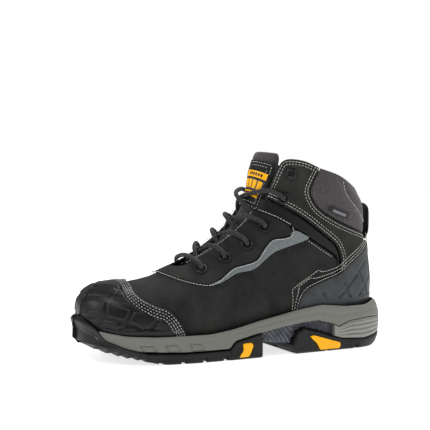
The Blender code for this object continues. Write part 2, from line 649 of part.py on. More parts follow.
def midsole(material):
    """The cup that the upper stands in; its underside arches up at the waist."""
    rings = []
    back = (CUP_BACK_X - 3, CUP_BACK_X - 1, CUP_BACK_X - 0.3, CUP_BACK_X - 0.05, CUP_BACK_X + 0.05)
    ends = (-151.2, -151.0, -150.7, -150.5, -149.5, -146, -144, -143, -138, *back)
    for x in sole_stations(-151.2, SOLE_BACK_X, extra=ends + WAIST_X):
        hollow = -150.6 < x < CUP_BACK_X
        floor = line_at(FLOOR, x) - 0.8
        rim = max(line_at(RIM, x), floor)
        rings.append(
            trough(x, line_at(MIDSOLE_BOTTOM, x), rim, floor if hollow else rim,
                   lambda side, x=x: midsole_half(x, side), lambda side, x=x: cup_half(x, side))
        )
    return loft("midsole", rings, material)


def inner_half(x, z, side, clearance):
    """Half width inside the upper at (x, z) in side view."""
    u, g = locate(x, z)
    return max(0.5, abs(float(surface_point(np.array(u), np.array(side * g))[1])) - clearance)


def make_foot_plates(mat):
    """What lies under the foot inside the boot, from the puncture plate up to the footbed."""
    layers = (("puncture_plate", 1.0, 1.9, "steel", 3.0), ("insole_board", 2.4, 4.4, "board", 4.0),
              ("footbed", 5.0, 9.5, "footbed", 4.5))
    for name, low, high, slot, clearance in layers:
        rings = []
        for x in (-137, -136, -134, -130, -124, *range(-115, 106, 20), 114, 121, 125, 127.5, 128.5):
            floor = line_at(FLOOR, x)
            tight = clearance + (2.5 if x < -85 or x > 75 else 0.0)
            ring = []
            for side in (-1, 1):
                half = inner_half(x, floor + low, side, tight)
                pair = [(x, side * half, floor + low), (x, side * half, floor + high)]
                ring += pair if side < 0 else pair[::-1]
            rings.append(ring)
        loft(name, rings, mat[slot])


def toe_patch(name, edge, foot, low, high, material, **sizes):
    """A piece that caps the toe, from its rear edge down to the sole and forward to the tip."""
    half = traced(edge)[:-1] + traced(foot)
    tip_girth = half[-1][1]
    return patch(name, over_ridge([*half, (0.05, tip_girth), (0.0, tip_girth)]), low, high, material, **sizes)


def make_upper(mat):
    """Leather, fabric and moulded pieces cut from the surface of the upper, inner ones first."""
    toe_patch("steel_toe_cap", STEEL_CAP_EDGE, STEEL_CAP_FOOT, -4.6, -2.8, mat["steel"])
    patch("heel_stiffener", round_heel(traced(HEEL_STIFFENER)), -5.0, -3.4, mat["board"])
    lining = traced(LINING_TOP, 12.0)[:-1] + traced(LINING_FOOT, 12.0)
    lining += [(0.05, lining[-1][1]), (0.0, lining[-1][1])]
    wrap("lining", lining, -8.0, -6.8, mat["lining"], step_u=15.0, step_v=12.0)
    patch("collar_foam", round_heel(traced(COLLAR_FOAM, 10.0)), -9.5, -3.4, mat["foam"], step_u=14.0, step_v=10.0)
    vamp = traced(VAMP_TOP)[:-1] + traced(FEATHER)
    vamp += [(0.05, vamp[-1][1]), (0.0, vamp[-1][1])]
    wrap("vamp", vamp, -LEATHER, 0.0, mat["nubuck"])
    patch("collar_panel", round_heel(traced(COLLAR_PANEL)), -LEATHER, 0.3, mat["softshell"])
    toe_patch("toe_guard", TOE_GUARD_EDGE, TOE_GUARD_FOOT, GUARD_LOW, GUARD_HIGH, mat["guard"])
    patch("heel_guard", round_heel(traced(HEEL_GUARD)), GUARD_LOW, GUARD_HIGH, mat["guard"])
    holes = [(u, side * g, EYELET_BARREL_R + 0.8) for u, g in map(lambda p: locate(*p), EYELETS[:EYESTAY_EYELETS])
             for side in (-1, 1)]
    patch("eyestay", over_ridge(traced(EYESTAY)), OVERLAY_LOW, OVERLAY_HIGH, mat["nubuck"], holes=holes)
    for side, label in ((-1, "lateral"), (1, "medial")):
        holes = [(u, side * g, EYELET_BARREL_R + 0.8) for u, g in map(lambda p: locate(*p), EYELETS[EYESTAY_EYELETS:])]
        patch(f"{label}_cuff", on_side(traced(CUFF + CUFF[:1])[:-1], side), -LEATHER, 0.0, mat["nubuck"], holes=holes)
        patch(f"{label}_flex_panel", on_side(traced(FLEX_PANEL + FLEX_PANEL[:1])[:-1], side), -2.4, -0.9, mat["flex"])
        patch(f"{label}_reflective_strip", on_side(traced(REFLECTIVE + REFLECTIVE[:1])[:-1], side), 0.6, 1.3,
              mat["reflective"])


def wrap(name, half, low, high, material, **sizes):
    """A piece that goes round the toe and both sides and meets itself at the heel, with a seam there."""
    seam = 0.994
    lateral = [(u, -min(g, seam)) for u, g in half]
    medial = [(u, min(g, seam)) for u, g in reversed(half) if g > 0]
    return patch(name, lateral + medial, low, high, material, **sizes)


def tongue_patch(name, u_low, u_high, lateral, medial, low, high, material, full=True):
    """A strip of the tongue between two edges, each a list of (station, distance from the middle)."""
    stations = np.linspace(u_low, u_high, max(2, round((u_high - u_low) / 0.05)) + 1)
    rings = []
    for u in stations:
        across = np.linspace(-line_at(lateral, u), line_at(medial, u), 7)
        v = np.array([girth_at(u, y) if abs(y) > 0.01 else 0.0 for y in across])
        rise = (0.5 + line_at(TONGUE_SWELL, u)) * np.maximum(0.0, 1 - (across / line_at(TONGUE_EDGE, u)) ** 2)
        outer = surface(u, v, high + rise)
        inner = surface(u, v, low if full else low + rise)
        rings.append([*outer, *inner[::-1]])
    return loft(name, rings, material)


def make_tongue(mat):
    hinge = bpy.data.objects.new("tongue_hinge", None)
    hinge.location = to_frame(TONGUE_HINGE)
    bpy.context.scene.collection.objects.link(hinge)
    low = TONGUE_TOP - TONGUE_THICK
    pieces = [
        tongue_patch("tongue_pad", 0.41, 0.995, TONGUE_EDGE, TONGUE_EDGE, low, TONGUE_TOP - 2.0, mat["softshell"]),
        tongue_patch("tongue_facing", *FACING_SPAN, FACING_LATERAL, FACING_MEDIAL, TONGUE_TOP - 1.0, TONGUE_TOP,
                     mat["nubuck"], full=False),
        tongue_patch("tongue_label", *LABEL_SPAN, LABEL_LATERAL, LABEL_MEDIAL, TONGUE_TOP + 0.6, TONGUE_TOP + 1.3,
                     mat["yellow"], full=False),
    ]
    for piece in pieces:
        piece.parent = hinge
        piece.matrix_parent_inverse = Matrix.Translation(-hinge.location)
    for side, label in ((-1, "lateral"), (1, "medial")):
        inner = [(u, abs(girth_at(u, side * (TONGUE_HALF_WIDTH + 1.5)))) for u in np.linspace(0.43, 0.74, 6)]
        outer = [(u, abs(girth_at(u, side * 30.0))) for u in np.linspace(0.74, 0.43, 6)]
        patch(f"{label}_gusset", on_side(inner + outer, side), -7.2, -6.2, mat["lining"])


def make_eyelets(mat):
    for side, label in ((-1, "lateral"), (1, "medial")):
        for number, place in enumerate(EYELETS):
            u, g = locate(*place)
            base = OVERLAY_HIGH if number < EYESTAY_EYELETS else 0.0
            eyelet(f"{label}_eyelet_{number + 1}", u, side * g, base, mat["black_metal"])


def lace_route():
    """The laced part: criss-cross, into each eyelet from outside and on under the edge to the next."""
    places = [locate(*place) for place in EYELETS[:LACED_EYELETS]]
    bases = [OVERLAY_HIGH if level < EYESTAY_EYELETS else 0.0 for level in range(LACED_EYELETS)]

    def into(level, side):
        """Over the edge of the facing and straight down through one eyelet."""
        (u, g), base = places[level], bases[level]
        centre = surface(u, side * g, 0.0)
        out = surface(u, side * g, 1.0) - centre
        inwards = surface(u, side * (g - 0.05), 0.0) - centre
        inwards = inwards / np.linalg.norm(inwards)
        return [centre + inwards * a + out * (base + h) for a, h in ((7.5, 4.4), (1.6, 4.2), (0.0, 1.5), (0.0, -2.6))]

    def across(level, side, height):
        """From inside one eyelet, under the edge and over the tongue, as far as the next eyelet's side."""
        (u, g), (u_next, g_next), base = places[level], places[level + 1], bases[level]
        share = 0.38 if level == LACED_EYELETS - 2 else 0.5
        return [
            surface(u + 0.004, side * (g - 0.02), base - 5.6),
            surface(u + 0.015, side * (g - 0.09), -2.6),
            surface(u + share * (u_next - u), 0.0, height),
            surface(u_next - 0.012, -side * (g_next - 0.105), max(4.4 + bases[level + 1], height)),
        ]

    def zigzag(side, heights):
        route = []
        for level, height in enumerate(heights):
            route += across(level, side, height) + into(level + 1, -side)
            side = -side
        return route

    low, high, top_low, top_high = -0.4, 4.6, 0.8, 5.4
    first = zigzag(-1, [high, low, high, top_low])
    second = zigzag(1, [low, high, low, top_high])
    u = places[0][0]
    bar = into(0, -1)[::-1] + [surface(u, 0.0, 4.6)] + into(0, 1)
    return first[::-1] + bar + second


def loose_end(label, side, run, mat):
    """One end of the lace, from the top laced eyelet to its aglet."""
    u, g = locate(*EYELETS[LACED_EYELETS - 1])
    start = [surface(u, side * g, h) for h in (-3.1, -8.6)]
    route = start + [(x, side * y, z) for x, y, z in LACE_DROP + run]
    tube(f"{label}_lace_end", route, LACE_D, mat["lace"], pieces=4)
    end, before = np.array(route[-1]), np.array(route[-2])
    ahead = (end - before) * (1, 1, 0) / np.linalg.norm(end - before)
    tube(f"{label}_aglet", [end + ahead * 0.4, end + ahead * (0.4 + AGLET_LENGTH)], AGLET_D, mat["webbing"], pieces=1)


def make_trim(mat):
    """The pull loop at the heel and the woven tabs in the collar seam."""
    prism("pull_loop", PULL_LOOP, -PULL_LOOP_WIDTH / 2, PULL_LOOP_WIDTH / 2, mat["webbing"])
    for side, label in ((-1, "lateral"), (1, "medial")):
        patch(f"{label}_side_tab", on_side(traced(SIDE_TAB)[:-1], side), 0.8, 1.6, mat["webbing"])


def main():
    for old in list(bpy.data.objects):
        bpy.data.objects.remove(old)
    mat = {
        "rubber": finish("rubber", (0.02, 0.02, 0.021), 0.55),
        "midsole": finish("midsole", (0.25, 0.25, 0.235), 0.6),
        "shank": finish("shank", (0.05, 0.052, 0.06), 0.45),
        "yellow": finish("yellow", (0.95, 0.55, 0.02), 0.45),
        "steel": finish("steel", (0.45, 0.46, 0.48), 0.35, 1.0),
        "board": finish("board", (0.5, 0.44, 0.33), 0.9),
        "footbed": finish("footbed", (0.06, 0.06, 0.065), 0.9),
        "lining": finish("lining", (0.045, 0.045, 0.05), 0.95),
        "foam": finish("foam", (0.05, 0.048, 0.05), 0.95),
        "nubuck": finish("nubuck", (0.018, 0.019, 0.018), 0.85),
        "softshell": finish("softshell", (0.045, 0.042, 0.043), 0.85),
        "guard": finish("guard", (0.02, 0.02, 0.022), 0.45),
        "flex": finish("flex", (0.008, 0.008, 0.009), 0.6),
        "reflective": finish("reflective", (0.3, 0.32, 0.33), 0.45),
        "black_metal": finish("black_metal", (0.02, 0.02, 0.022), 0.35, 0.8),
        "webbing": finish("webbing", (0.02, 0.02, 0.02), 0.85),
        "lace": finish("lace", (0.035, 0.035, 0.036), 0.85),
    }
    make_sole(mat)
    make_foot_plates(mat)
    make_upper(mat)
    make_tongue(mat)
    make_eyelets(mat)
    make_trim(mat)
    tube("lace", lace_route(), LACE_D, mat["lace"])
    loose_end("lateral", -1, LATERAL_RUN, mat)
    loose_end("medial", 1, MEDIAL_RUN, mat)


main()
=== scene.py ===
"""Looks of the left safety boot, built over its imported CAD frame.

As in the CAD source, the boot is drawn in millimetres: the toe points to -X, the lateral side
to -Y, and to_frame turns a drawn point into the frame's metres. A point of the upper has a
station u (0 at the toe tip, 1 at the collar) and a girth v (0 on the ridge, -1 or 1 on the line
under the sole and up the heel, negative on the lateral side), and a height h over the last.
"""

import math

import bmesh
import bpy
import numpy as np
from mathutils import Matrix, Vector
from mathutils.geometry import delaunay_2d_cdt
from mathutils.kdtree import KDTree


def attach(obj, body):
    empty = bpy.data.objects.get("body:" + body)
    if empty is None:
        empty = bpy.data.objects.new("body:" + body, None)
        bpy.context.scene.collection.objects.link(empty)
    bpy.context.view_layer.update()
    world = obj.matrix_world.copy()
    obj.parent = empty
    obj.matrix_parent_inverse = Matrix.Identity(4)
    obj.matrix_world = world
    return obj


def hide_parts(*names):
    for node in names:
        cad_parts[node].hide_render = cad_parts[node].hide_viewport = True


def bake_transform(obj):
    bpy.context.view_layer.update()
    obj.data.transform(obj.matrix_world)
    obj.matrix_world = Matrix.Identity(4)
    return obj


MM = 0.001
MIDDLE = (-2.0, -1.95, 0.0)
SIDES = ((-1, "lateral"), (1, "medial"))

TOE_X = -147.0
TOE_ROUND_X = -97.0
TOE_POLE_Z = 32.0
TOE_ROUND_STATION = 0.229
TOE_PLAN_POWER = 2.3
TOE_TOP_POWER = 4.6
TOE_BOTTOM_POWER = 3.2
SOLE_FRONT_X = -154.5
SOLE_BACK_X = 150.5
HEEL_ROUND_X = 103.0
CUP_BACK_X = 142.5
U_TO_MM, V_TO_MM = 370.0, 125.0
PATTERN_SCALE = np.array([U_TO_MM, V_TO_MM])

GIRTH_END = 0.994  # side pieces stop just short of the line under the sole
EYELET_HOLE_R = 4.4
LACE_D = 4.2
LACE_END_D = 3.8
TONGUE_TOP = -4.0
TONGUE_EDGE = [(0.41, 13.0), (0.55, 20.5), (0.80, 20.5), (0.95, 25.5)]
TONGUE_SWELL = [(0.80, 0.0), (0.90, 3.0), (1.0, 3.0)]
FACING_SPAN = (0.735, 0.955)
FACING_LATERAL = [(0.735, 20.0), (0.80, 20.0), (0.95, 24.0)]
FACING_MEDIAL = [(0.735, 10.0), (0.95, 6.0)]
LABEL_SPAN = (0.775, 0.908)
LABEL_LATERAL = [(0.775, 17.5), (0.908, 21.5)]
LABEL_MEDIAL = [(0.775, 5.5), (0.908, 2.0)]

STATIONS = np.array(
    [
        [0.00, -147, 63.5, -147, 22, 40, 38, 0.66, 2.5, 4.0],
        [0.10, -128, 65.5, -128, 20, 43, 41, 0.68, 2.5, 4.0],
        [0.20, -104, 66.8, -104, 18, 46, 44, 0.70, 2.4, 4.0],
        [0.30, -80, 71, -78, 17, 50, 47, 0.72, 2.2, 4.2],
        [0.40, -58, 79.2, -50, 17, 52, 48, 0.74, 2.0, 4.2],
        [0.50, -37, 90, -16, 21, 50, 45, 0.77, 1.9, 4.4],
        [0.58, -19, 103.5, 24, 28, 46, 41, 0.76, 1.9, 4.6],
        [0.66, -4, 118.5, 74, 32, 42, 39, 0.66, 2.0, 4.6],
        [0.73, 6, 134.5, 126, 32, 39, 38, 0.54, 2.1, 3.4],
        [0.80, 13, 149, 139, 52, 37, 37, 0.50, 2.2, 2.5],
        [0.87, 17, 161, 137, 88, 36, 36, 0.50, 2.3, 2.3],
        [0.94, 21, 173, 132, 121, 38, 38, 0.50, 2.3, 2.2],
        [1.00, 25, 186, 123, 158, 41, 41, 0.50, 2.3, 2.2],
    ]
)
SOLE_X = [-156, -104, -80, -58, -20, 24, 72, 103]
SOLE_LATERAL = [50, 53, 57, 59, 57, 53, 49, 46]
SOLE_MEDIAL = [48, 51, 54, 55, 52, 48, 46, 45]
FLOOR = [(-147, 22), (-128, 20), (-104, 18), (-78, 17), (-50, 17), (-24, 19.5), (-16, 21), (0, 24.5),
         (24, 28.5), (47, 31), (74, 32), (152, 32)]
RIM = [(-146, 21), (-143, 30), (-121, 25.5), (-94, 24), (-45, 24), (-23, 27), (0, 32), (23, 36), (44, 40),
       (70, 43), (96, 40), (119, 40), (134, 43.5), (143, 43), (152, 37)]
MIDSOLE_BOTTOM = [(-156, 19.8), (-143, 18), (-130, 15), (-110, 12), (-95, 11), (-74, 10), (-28, 10),
                  (-24, 15.5), (-21, 17), (0, 21.5), (5, 22), (23, 25), (47, 28), (65, 29), (81, 25),
                  (87, 21.5), (92, 23.5), (100, 26.5), (121, 28.5), (152, 27)]
OUTSOLE_WALL = [(-156, 41), (-152, 41), (-149, 38), (-142, 31), (-138, 23), (-123, 16), (-105, 11.5)]
OUTSOLE_GROUND = [(-156, 24), (-150, 15.5), (-143, 12.5), (-130, 8.5), (-110, 4), (-95, 1.2), (-86, 0),
                  (10, 0)]
SHANK_BOTTOM = [(5, 14), (20, 11.5), (36, 10)]
HEEL_BLOCK_TOP = [(37, 9), (42, 20), (50, 23), (68, 18), (76, 15), (92, 10.5), (116, 9), (138, 12),
                  (152, 18)]
HEEL_BLOCK_GROUND = [(37, 1.5), (42, 0), (126, 0), (135, 1.5), (142, 5), (148, 10), (152, 14)]
MARK_STARTS = (-109.5, -88.5, -67.0)
FORE_INSERT = [(-16, 14), (-7, 14.5), (-5, 12), (-8, 5), (-10, 2), (-20, 2), (-15, 8)]
HEEL_INSERT = [(55, 15), (59, 16), (89, 7), (88, 2), (66, 2), (63, 8)]

# Pattern pieces in side view. Each is a list of smooth stretches that meet at corners.
THROAT = [(-62, 78.4), (-57, 78.7), (-47, 82), (-31, 90.5), (-13, 101.5), (4, 115.5), (14.5, 128.5)]
FACING_LOW = [(-71.5, 74.6), (-69, 72), (-57, 68), (-41, 66), (-30, 70), (-16, 79), (-5, 82), (7, 86),
              (16, 96), (25, 104), (36, 105.6)]
FACING_TIP = [(36, 105.6), (43, 108.5), (42, 115)]
FACING_TOP = [(42, 115), (32, 121), (19, 127), (14.5, 128.5)]
VAMP_TOP = [(-62, 78.3), (-52, 73), (-43, 70.8), (-33, 75), (-20, 81.8), (-7, 87), (3, 91), (12, 100),
            (21, 108.3), (36, 112), (46, 113.5)]
VAMP_BACK = [(46, 113.5), (60, 104), (74, 95), (86, 87.5), (90.5, 81), (88, 71), (96, 65)]
VAMP_HEEL = [(96, 65), (110, 73), (124, 82), (137.5, 87)]
VAMP_BACK_SEAM = [(137.5, 87), (138.5, 60), (139, 39)]
FEATHER = [(139, 39), (125, 38), (95, 37.5), (60, 37), (24, 33.5), (0, 29.5), (-16, 26), (-60, 21),
           (-100, 21), (-130, 23)]
STRIP_LOW = [(-41, 65.2), (-31, 66.2), (-21, 70.5), (-12, 74.5), (4, 77.5), (16, 85.5), (27, 92.5),
             (46, 98.5), (59, 103), (60.5, 105)]
STRIP_TOP = [(60.5, 105), (48, 111), (43, 108.9)]
STRIP_INNER = [(43, 108.9), (41, 104.9), (26, 102.9), (17, 95.2), (8, 85.1), (-4.5, 81), (-15.5, 78),
               (-29.5, 69)]
CUFF_FRONT = [(24, 142), (26, 148), (30, 158), (34, 169), (37, 174.5), (43, 176.6), (56, 174.5),
              (70, 168.5)]
CUFF_SEAM = [(70, 168.5), (64.5, 156), (62, 146), (69, 133), (83, 123), (105, 113), (136, 103)]
CUFF_HEEL = [(136, 103), (137.5, 94), (124, 88.5), (110, 79.5), (100, 73), (94, 73.5)]
CUFF_LOW = [(94, 73.5), (96.5, 84), (90.5, 97.5), (74.5, 110), (53, 125.5), (24, 142)]
PANEL_TOP = [(119, 148), (110, 152.5), (92, 161.5), (71.5, 168)]
PANEL_SEAM = [(71.5, 168), (66, 156), (63.5, 146.3), (70, 134.3), (84, 124.4), (106, 114.4), (134.5, 104.8)]
FLEX = [(18, 135.5), (16, 130), (28, 121), (44, 115.4), (61, 105.8), (75, 96.6), (89, 88.3), (92, 82.3),
        (88.5, 72.5), (92.5, 73.5), (94.5, 84), (89, 96), (73, 108.4), (51.5, 123.8), (24, 139.8)]
TOE_GUARD_EDGE = [(-104.5, 69), (-108, 64), (-108.5, 59), (-104, 54), (-94, 49), (-83, 45), (-75, 37),
                  (-69, 27), (-67.5, 21.5)]
TOE_GUARD_FOOT = [(-67.5, 21.5), (-95, 21.5), (-120, 22.5)]
HEEL_GUARD_EDGE = [(134.5, 98), (128, 95), (121, 89), (107, 80), (92, 70), (71, 63), (56, 57), (48.5, 49.5),
                   (45, 41), (46, 36)]
HEEL_GUARD_FOOT = [(46, 36), (80, 38), (110, 38.5), (130, 39.5), (139, 41)]
COLLAR_RIM = [(118, 146), (109, 149.5), (92, 158), (71, 165.5), (57, 171)]
COLLAR_INNER = [(57, 171), (52, 158), (54, 142), (66, 126), (84, 116), (106, 108), (133, 104)]
LINING_TOP = [(-64, 77), (-54, 66), (-41, 62), (-29, 66), (-14, 74), (0, 79), (14, 86), (30, 97), (46, 108),
              (60, 116), (70, 118), (88, 110), (108, 102), (134, 98)]
LINING_BACK = [(134, 98), (137, 70), (139, 43.5)]
LINING_FOOT = [(139, 43.5), (125, 43), (95, 43), (60, 42), (24, 39), (0, 34.5), (-16, 31), (-60, 27),
               (-100, 28), (-130, 30)]
SIDE_TAB = [(82, 133.5), (103, 125.5), (100, 120.5), (80, 128.5), (82, 133.5)]
TAB_MARK = [(85, 130.6), (99, 125.3), (98, 123), (84, 128.3), (85, 130.6)]
COLLAR_DART = [(95, 156), (98, 147), (103, 140), (113, 131), (124, 121), (133, 114)]
PULL_LOOP = [(137.6, 99.8), (139, 103.5), (140.6, 109), (140.6, 126), (138.6, 130.9), (134.8, 133),
             (130.6, 133)]
PULL_LOOP_WIDTH = 20.0

# The straps between the toe guard's plates, by station and girth.
TOE_STRAPS = [
    [(0.175, 0.12), (0.142, 0.243), (0.120, 0.33), (0.106, 0.44), (0.092, 0.52), (0.082, 0.62)],
    [(0.182, 0.393), (0.163, 0.474), (0.146, 0.54), (0.135, 0.62)],
    [(0.285, 0.400), (0.252, 0.445), (0.222, 0.50), (0.200, 0.56)],
    [(0.085, 0.05), (0.045, 0.17), (0.030, 0.30), (0.025, 0.41), (0.02, 0.62)],
    [(0.095, 0.0), (0.115, 0.06), (0.145, 0.13), (0.17, 0.20), (0.20, 0.27)],
    [(0.045, 0.14), (0.054, 0.156), (0.09, 0.23), (0.125, 0.30), (0.152, 0.345), (0.182, 0.38), (0.22, 0.405),
     (0.262, 0.425), (0.30, 0.44)],
    [(0.0, 0.40), (0.034, 0.42), (0.094, 0.455), (0.13, 0.47), (0.165, 0.487), (0.21, 0.508), (0.25, 0.52)],
]
# The heel guard's grooves, in side view.
STEEP_GROOVES = [[(71.5, 57), (77, 43.5)], [(94.8, 66.3), (97.6, 59.6)], [(99.4, 56.2), (104.5, 45)],
                 [(111.5, 79.2), (113.3, 74.4)], [(114.6, 70.2), (120, 60.7)], [(122, 57), (127.5, 46.7)],
                 [(127, 88), (128.5, 82)], [(129.5, 78), (132, 66)], [(133, 62), (136, 50)]]
THIN_GROOVES = [[(84.8, 43.5), (96.7, 53.3)], [(107, 40), (119.2, 54.2)], [(99.4, 56.2), (112.4, 68)],
                [(114.2, 70.5), (125, 80)], [(121.5, 56), (131, 66)]]

EYELETS = [(-43, 77), (-20, 87), (2, 99), (20, 115), (38, 141), (44, 163)]
EYESTAY_EYELETS = 4
LACED_EYELETS = 5
FACING_TOP_H = 2.4
LACE_DROP = [(43.3, 17.6, 137.9), (46.1, 15, 133), (47.9, 14.2, 126), (49.2, 14.6, 115), (50.5, 15.2, 102),
             (51.5, 15.5, 90), (52.5, 15.5, 78), (53, 16, 67), (52, 17, 57.5), (47.5, 18, 49.8),
             (40, 18.5, 45)]
LATERAL_RUN = [(29, 18.5, 42.2), (14, 18, 39), (0, 19, 36.6), (-14, 21, 33.5), (-28, 24, 31),
               (-42, 26, 30.2), (-56, 25.5, 29.2)]
MEDIAL_RUN = [(29, 18, 42.2), (14, 15.5, 39), (0, 13, 36.6), (-14, 12, 33.5), (-28, 13, 31),
              (-40, 16, 30.4), (-50, 19.5, 29.6)]


def to_frame(point):
    """A drawn point, in millimetres, in the frame's metres."""
    return Vector([(float(c) - m) * MM for c, m in zip(point, MIDDLE)])


# ---------------------------------------------------------------- camera, light and floor

WHITE = (1.0, 1.0, 1.0, 1.0)
WORLD_LIGHT = 0.32
FLOOR_GLOW = 0.72
# Name, place in metres, size in metres, power in watts.
LIGHTS = (("top_back", (0.7, 0.35, 1.5), 1.2, 26.0), ("top_front", (-1.0, -0.5, 1.4), 0.9, 13.0),
          ("toe_side", (-1.7, 0.2, 0.8), 0.7, 8.0), ("heel_side", (1.5, -0.8, 0.7), 0.8, 9.0))


def studio():
    camera = bpy.data.objects.new("camera", bpy.data.cameras.new("camera"))
    camera.data.lens = 99.46
    camera.data.sensor_width = 36.0
    camera.location = to_frame((-464.88, -996.94, 185.0))
    target = to_frame((-14.27, 6.65, 124.81))
    camera.rotation_euler = (target - camera.location).to_track_quat("-Z", "Y").to_euler()
    bpy.context.scene.collection.objects.link(camera)
    bpy.context.scene.camera = camera

    bpy.ops.mesh.primitive_plane_add(size=8.0, location=(0, 0, -0.0002))
    floor = bpy.context.object
    floor.name = "floor"
    floor.data.materials.append(floor_material())

    bpy.context.scene.world = studio_world()
    for light in LIGHTS:
        area_light(*light)
    bpy.context.scene.view_settings.view_transform = "Standard"


def studio_world():
    """White behind the boot, and softer light on it."""
    world = bpy.data.worlds.new("studio")
    world.use_nodes = True
    nodes, links = world.node_tree.nodes, world.node_tree.links
    soft = nodes["Background"]
    soft.inputs["Color"].default_value = WHITE
    soft.inputs["Strength"].default_value = WORLD_LIGHT
    white = nodes.new("ShaderNodeBackground")
    white.inputs["Color"].default_value = WHITE
    choice = nodes.new("ShaderNodeMixShader")
    links.new(nodes.new("ShaderNodeLightPath").outputs["Is Camera Ray"], choice.inputs[0])
    links.new(soft.outputs["Background"], choice.inputs[1])
    links.new(white.outputs["Background"], choice.inputs[2])
    links.new(choice.outputs["Shader"], nodes["World Output"].inputs["Surface"])
    return world


def area_light(name, place, size, power):
    light = bpy.data.objects.new(name, bpy.data.lights.new(name, "AREA"))
    light.data.size = size
    light.data.energy = power
    light.location = place
    light.rotation_euler = (Vector((0, 0, 0.08)) - light.location).to_track_quat("-Z", "Y").to_euler()
    bpy.context.scene.collection.objects.link(light)


# ---------------------------------------------------------------- materials

DULL_SPECULAR = 0.22


def srgb(red, green, blue):
    """A colour given as 0 to 255 on screen, as linear light."""
    channels = (red, green, blue)
    return tuple(((c / 255 + 0.055) / 1.055) ** 2.4 if c > 10 else c / 255 / 12.92 for c in channels)


class Surface:
    """A Principled material with small helpers to wire procedural detail into it."""

    def __init__(self, name, roughness):
        self.material = bpy.data.materials.new(name)
        self.material.use_nodes = True
        self.nodes = self.material.node_tree.nodes
        self.links = self.material.node_tree.links
        self.shader = self.nodes["Principled BSDF"]
        self.shader.inputs["Roughness"].default_value = roughness
        self.shader.inputs["Specular IOR Level"].default_value = DULL_SPECULAR
        self.place = self.add("ShaderNodeTexCoord").outputs["Object"]
        self.normal = None

    def add(self, kind, **values):
        node = self.nodes.new(kind)
        for key, value in values.items():
            setattr(node, key, value)
        return node

    def noise(self, scale, detail=3.0, roughness=0.55, distortion=0.0):
        node = self.add("ShaderNodeTexNoise")
        node.inputs["Scale"].default_value = scale
        node.inputs["Detail"].default_value = detail
        node.inputs["Roughness"].default_value = roughness
        node.inputs["Distortion"].default_value = distortion
        self.links.new(self.place, node.inputs["Vector"])
        return node.outputs["Fac"]

    def cells(self, scale):
        node = self.add("ShaderNodeTexVoronoi")
        node.inputs["Scale"].default_value = scale
        self.links.new(self.place, node.inputs["Vector"])
        return node.outputs["Distance"]

    def wave(self, scale, direction, distortion, turn):
        node = self.add("ShaderNodeTexWave", wave_type="BANDS", bands_direction=direction)
        node.inputs["Scale"].default_value = scale
        node.inputs["Distortion"].default_value = distortion
        mapping = self.add("ShaderNodeMapping")
        mapping.inputs["Rotation"].default_value = turn
        self.links.new(self.place, mapping.inputs["Vector"])
        self.links.new(mapping.outputs["Vector"], node.inputs["Vector"])
        return node.outputs["Fac"]

    def mixed(self, first, second, operation="MULTIPLY"):
        """Two values combined by a Math node."""
        node = self.add("ShaderNodeMath", operation=operation)
        self.links.new(first, node.inputs[0])
        self.links.new(second, node.inputs[1])
        return node.outputs["Value"]

    def ramp(self, value, stops):
        node = self.add("ShaderNodeValToRGB")
        elements = node.color_ramp.elements
        while len(elements) < len(stops):
            elements.new(0.5)
        for element, (position, colour) in zip(elements, stops):
            element.position = position
            element.color = (*colour, 1.0)
        self.links.new(value, node.inputs["Fac"])
        return node.outputs["Color"]

    def colour(self, value, dark, light, low=0.3, high=0.7):
        self.links.new(self.ramp(value, [(low, dark), (high, light)]), self.shader.inputs["Base Color"])
        return self

    def rough(self, value, low, high):
        node = self.add("ShaderNodeMapRange")
        node.inputs["To Min"].default_value = low
        node.inputs["To Max"].default_value = high
        self.links.new(value, node.inputs["Value"])
        self.links.new(node.outputs["Result"], self.shader.inputs["Roughness"])
        return self

    def bump(self, value, distance_mm, strength=1.0):
        node = self.add("ShaderNodeBump")
        node.inputs["Strength"].default_value = strength
        node.inputs["Distance"].default_value = distance_mm * MM
        self.links.new(value, node.inputs["Height"])
        if self.normal is not None:
            self.links.new(self.normal, node.inputs["Normal"])
        self.normal = node.outputs["Normal"]
        self.links.new(self.normal, self.shader.inputs["Normal"])
        return self

    def sheen(self, weight, colour):
        self.shader.inputs["Sheen Weight"].default_value = weight
        self.shader.inputs["Sheen Roughness"].default_value = 0.5
        self.shader.inputs["Sheen Tint"].default_value = (*colour, 1.0)
        return self


def floor_material():
    surface = Surface("studio_floor", 0.16)
    surface.shader.inputs["Base Color"].default_value = (0.96, 0.96, 0.96, 1.0)
    surface.shader.inputs["Specular IOR Level"].default_value = 0.5
    surface.shader.inputs["Emission Color"].default_value = WHITE
    surface.shader.inputs["Emission Strength"].default_value = FLOOR_GLOW
    return surface.material


def nubuck(name, dark, light):
    surface = Surface(name, 0.82)
    clouds = surface.noise(38.0, 5.0, 0.6, 0.6)
    surface.colour(clouds, dark, light, 0.32, 0.72)
    surface.bump(surface.noise(2600.0, 3.0, 0.7), 0.10, 0.8)
    surface.bump(surface.cells(900.0), 0.08, 0.5)
    surface.bump(surface.noise(60.0, 3.0), 0.5, 0.5)
    surface.rough(surface.noise(300.0), 0.72, 0.95)
    return surface.sheen(0.04, srgb(150, 150, 140)).material


def moulded(name, dark, light, roughness=0.42):
    surface = Surface(name, roughness)
    surface.colour(surface.noise(90.0, 4.0), dark, light)
    surface.bump(surface.noise(1800.0, 2.0), 0.05, 0.6)
    surface.bump(surface.noise(45.0, 2.0), 0.35, 0.3)
    return surface.rough(surface.noise(160.0, 4.0), roughness - 0.07, roughness + 0.1).material


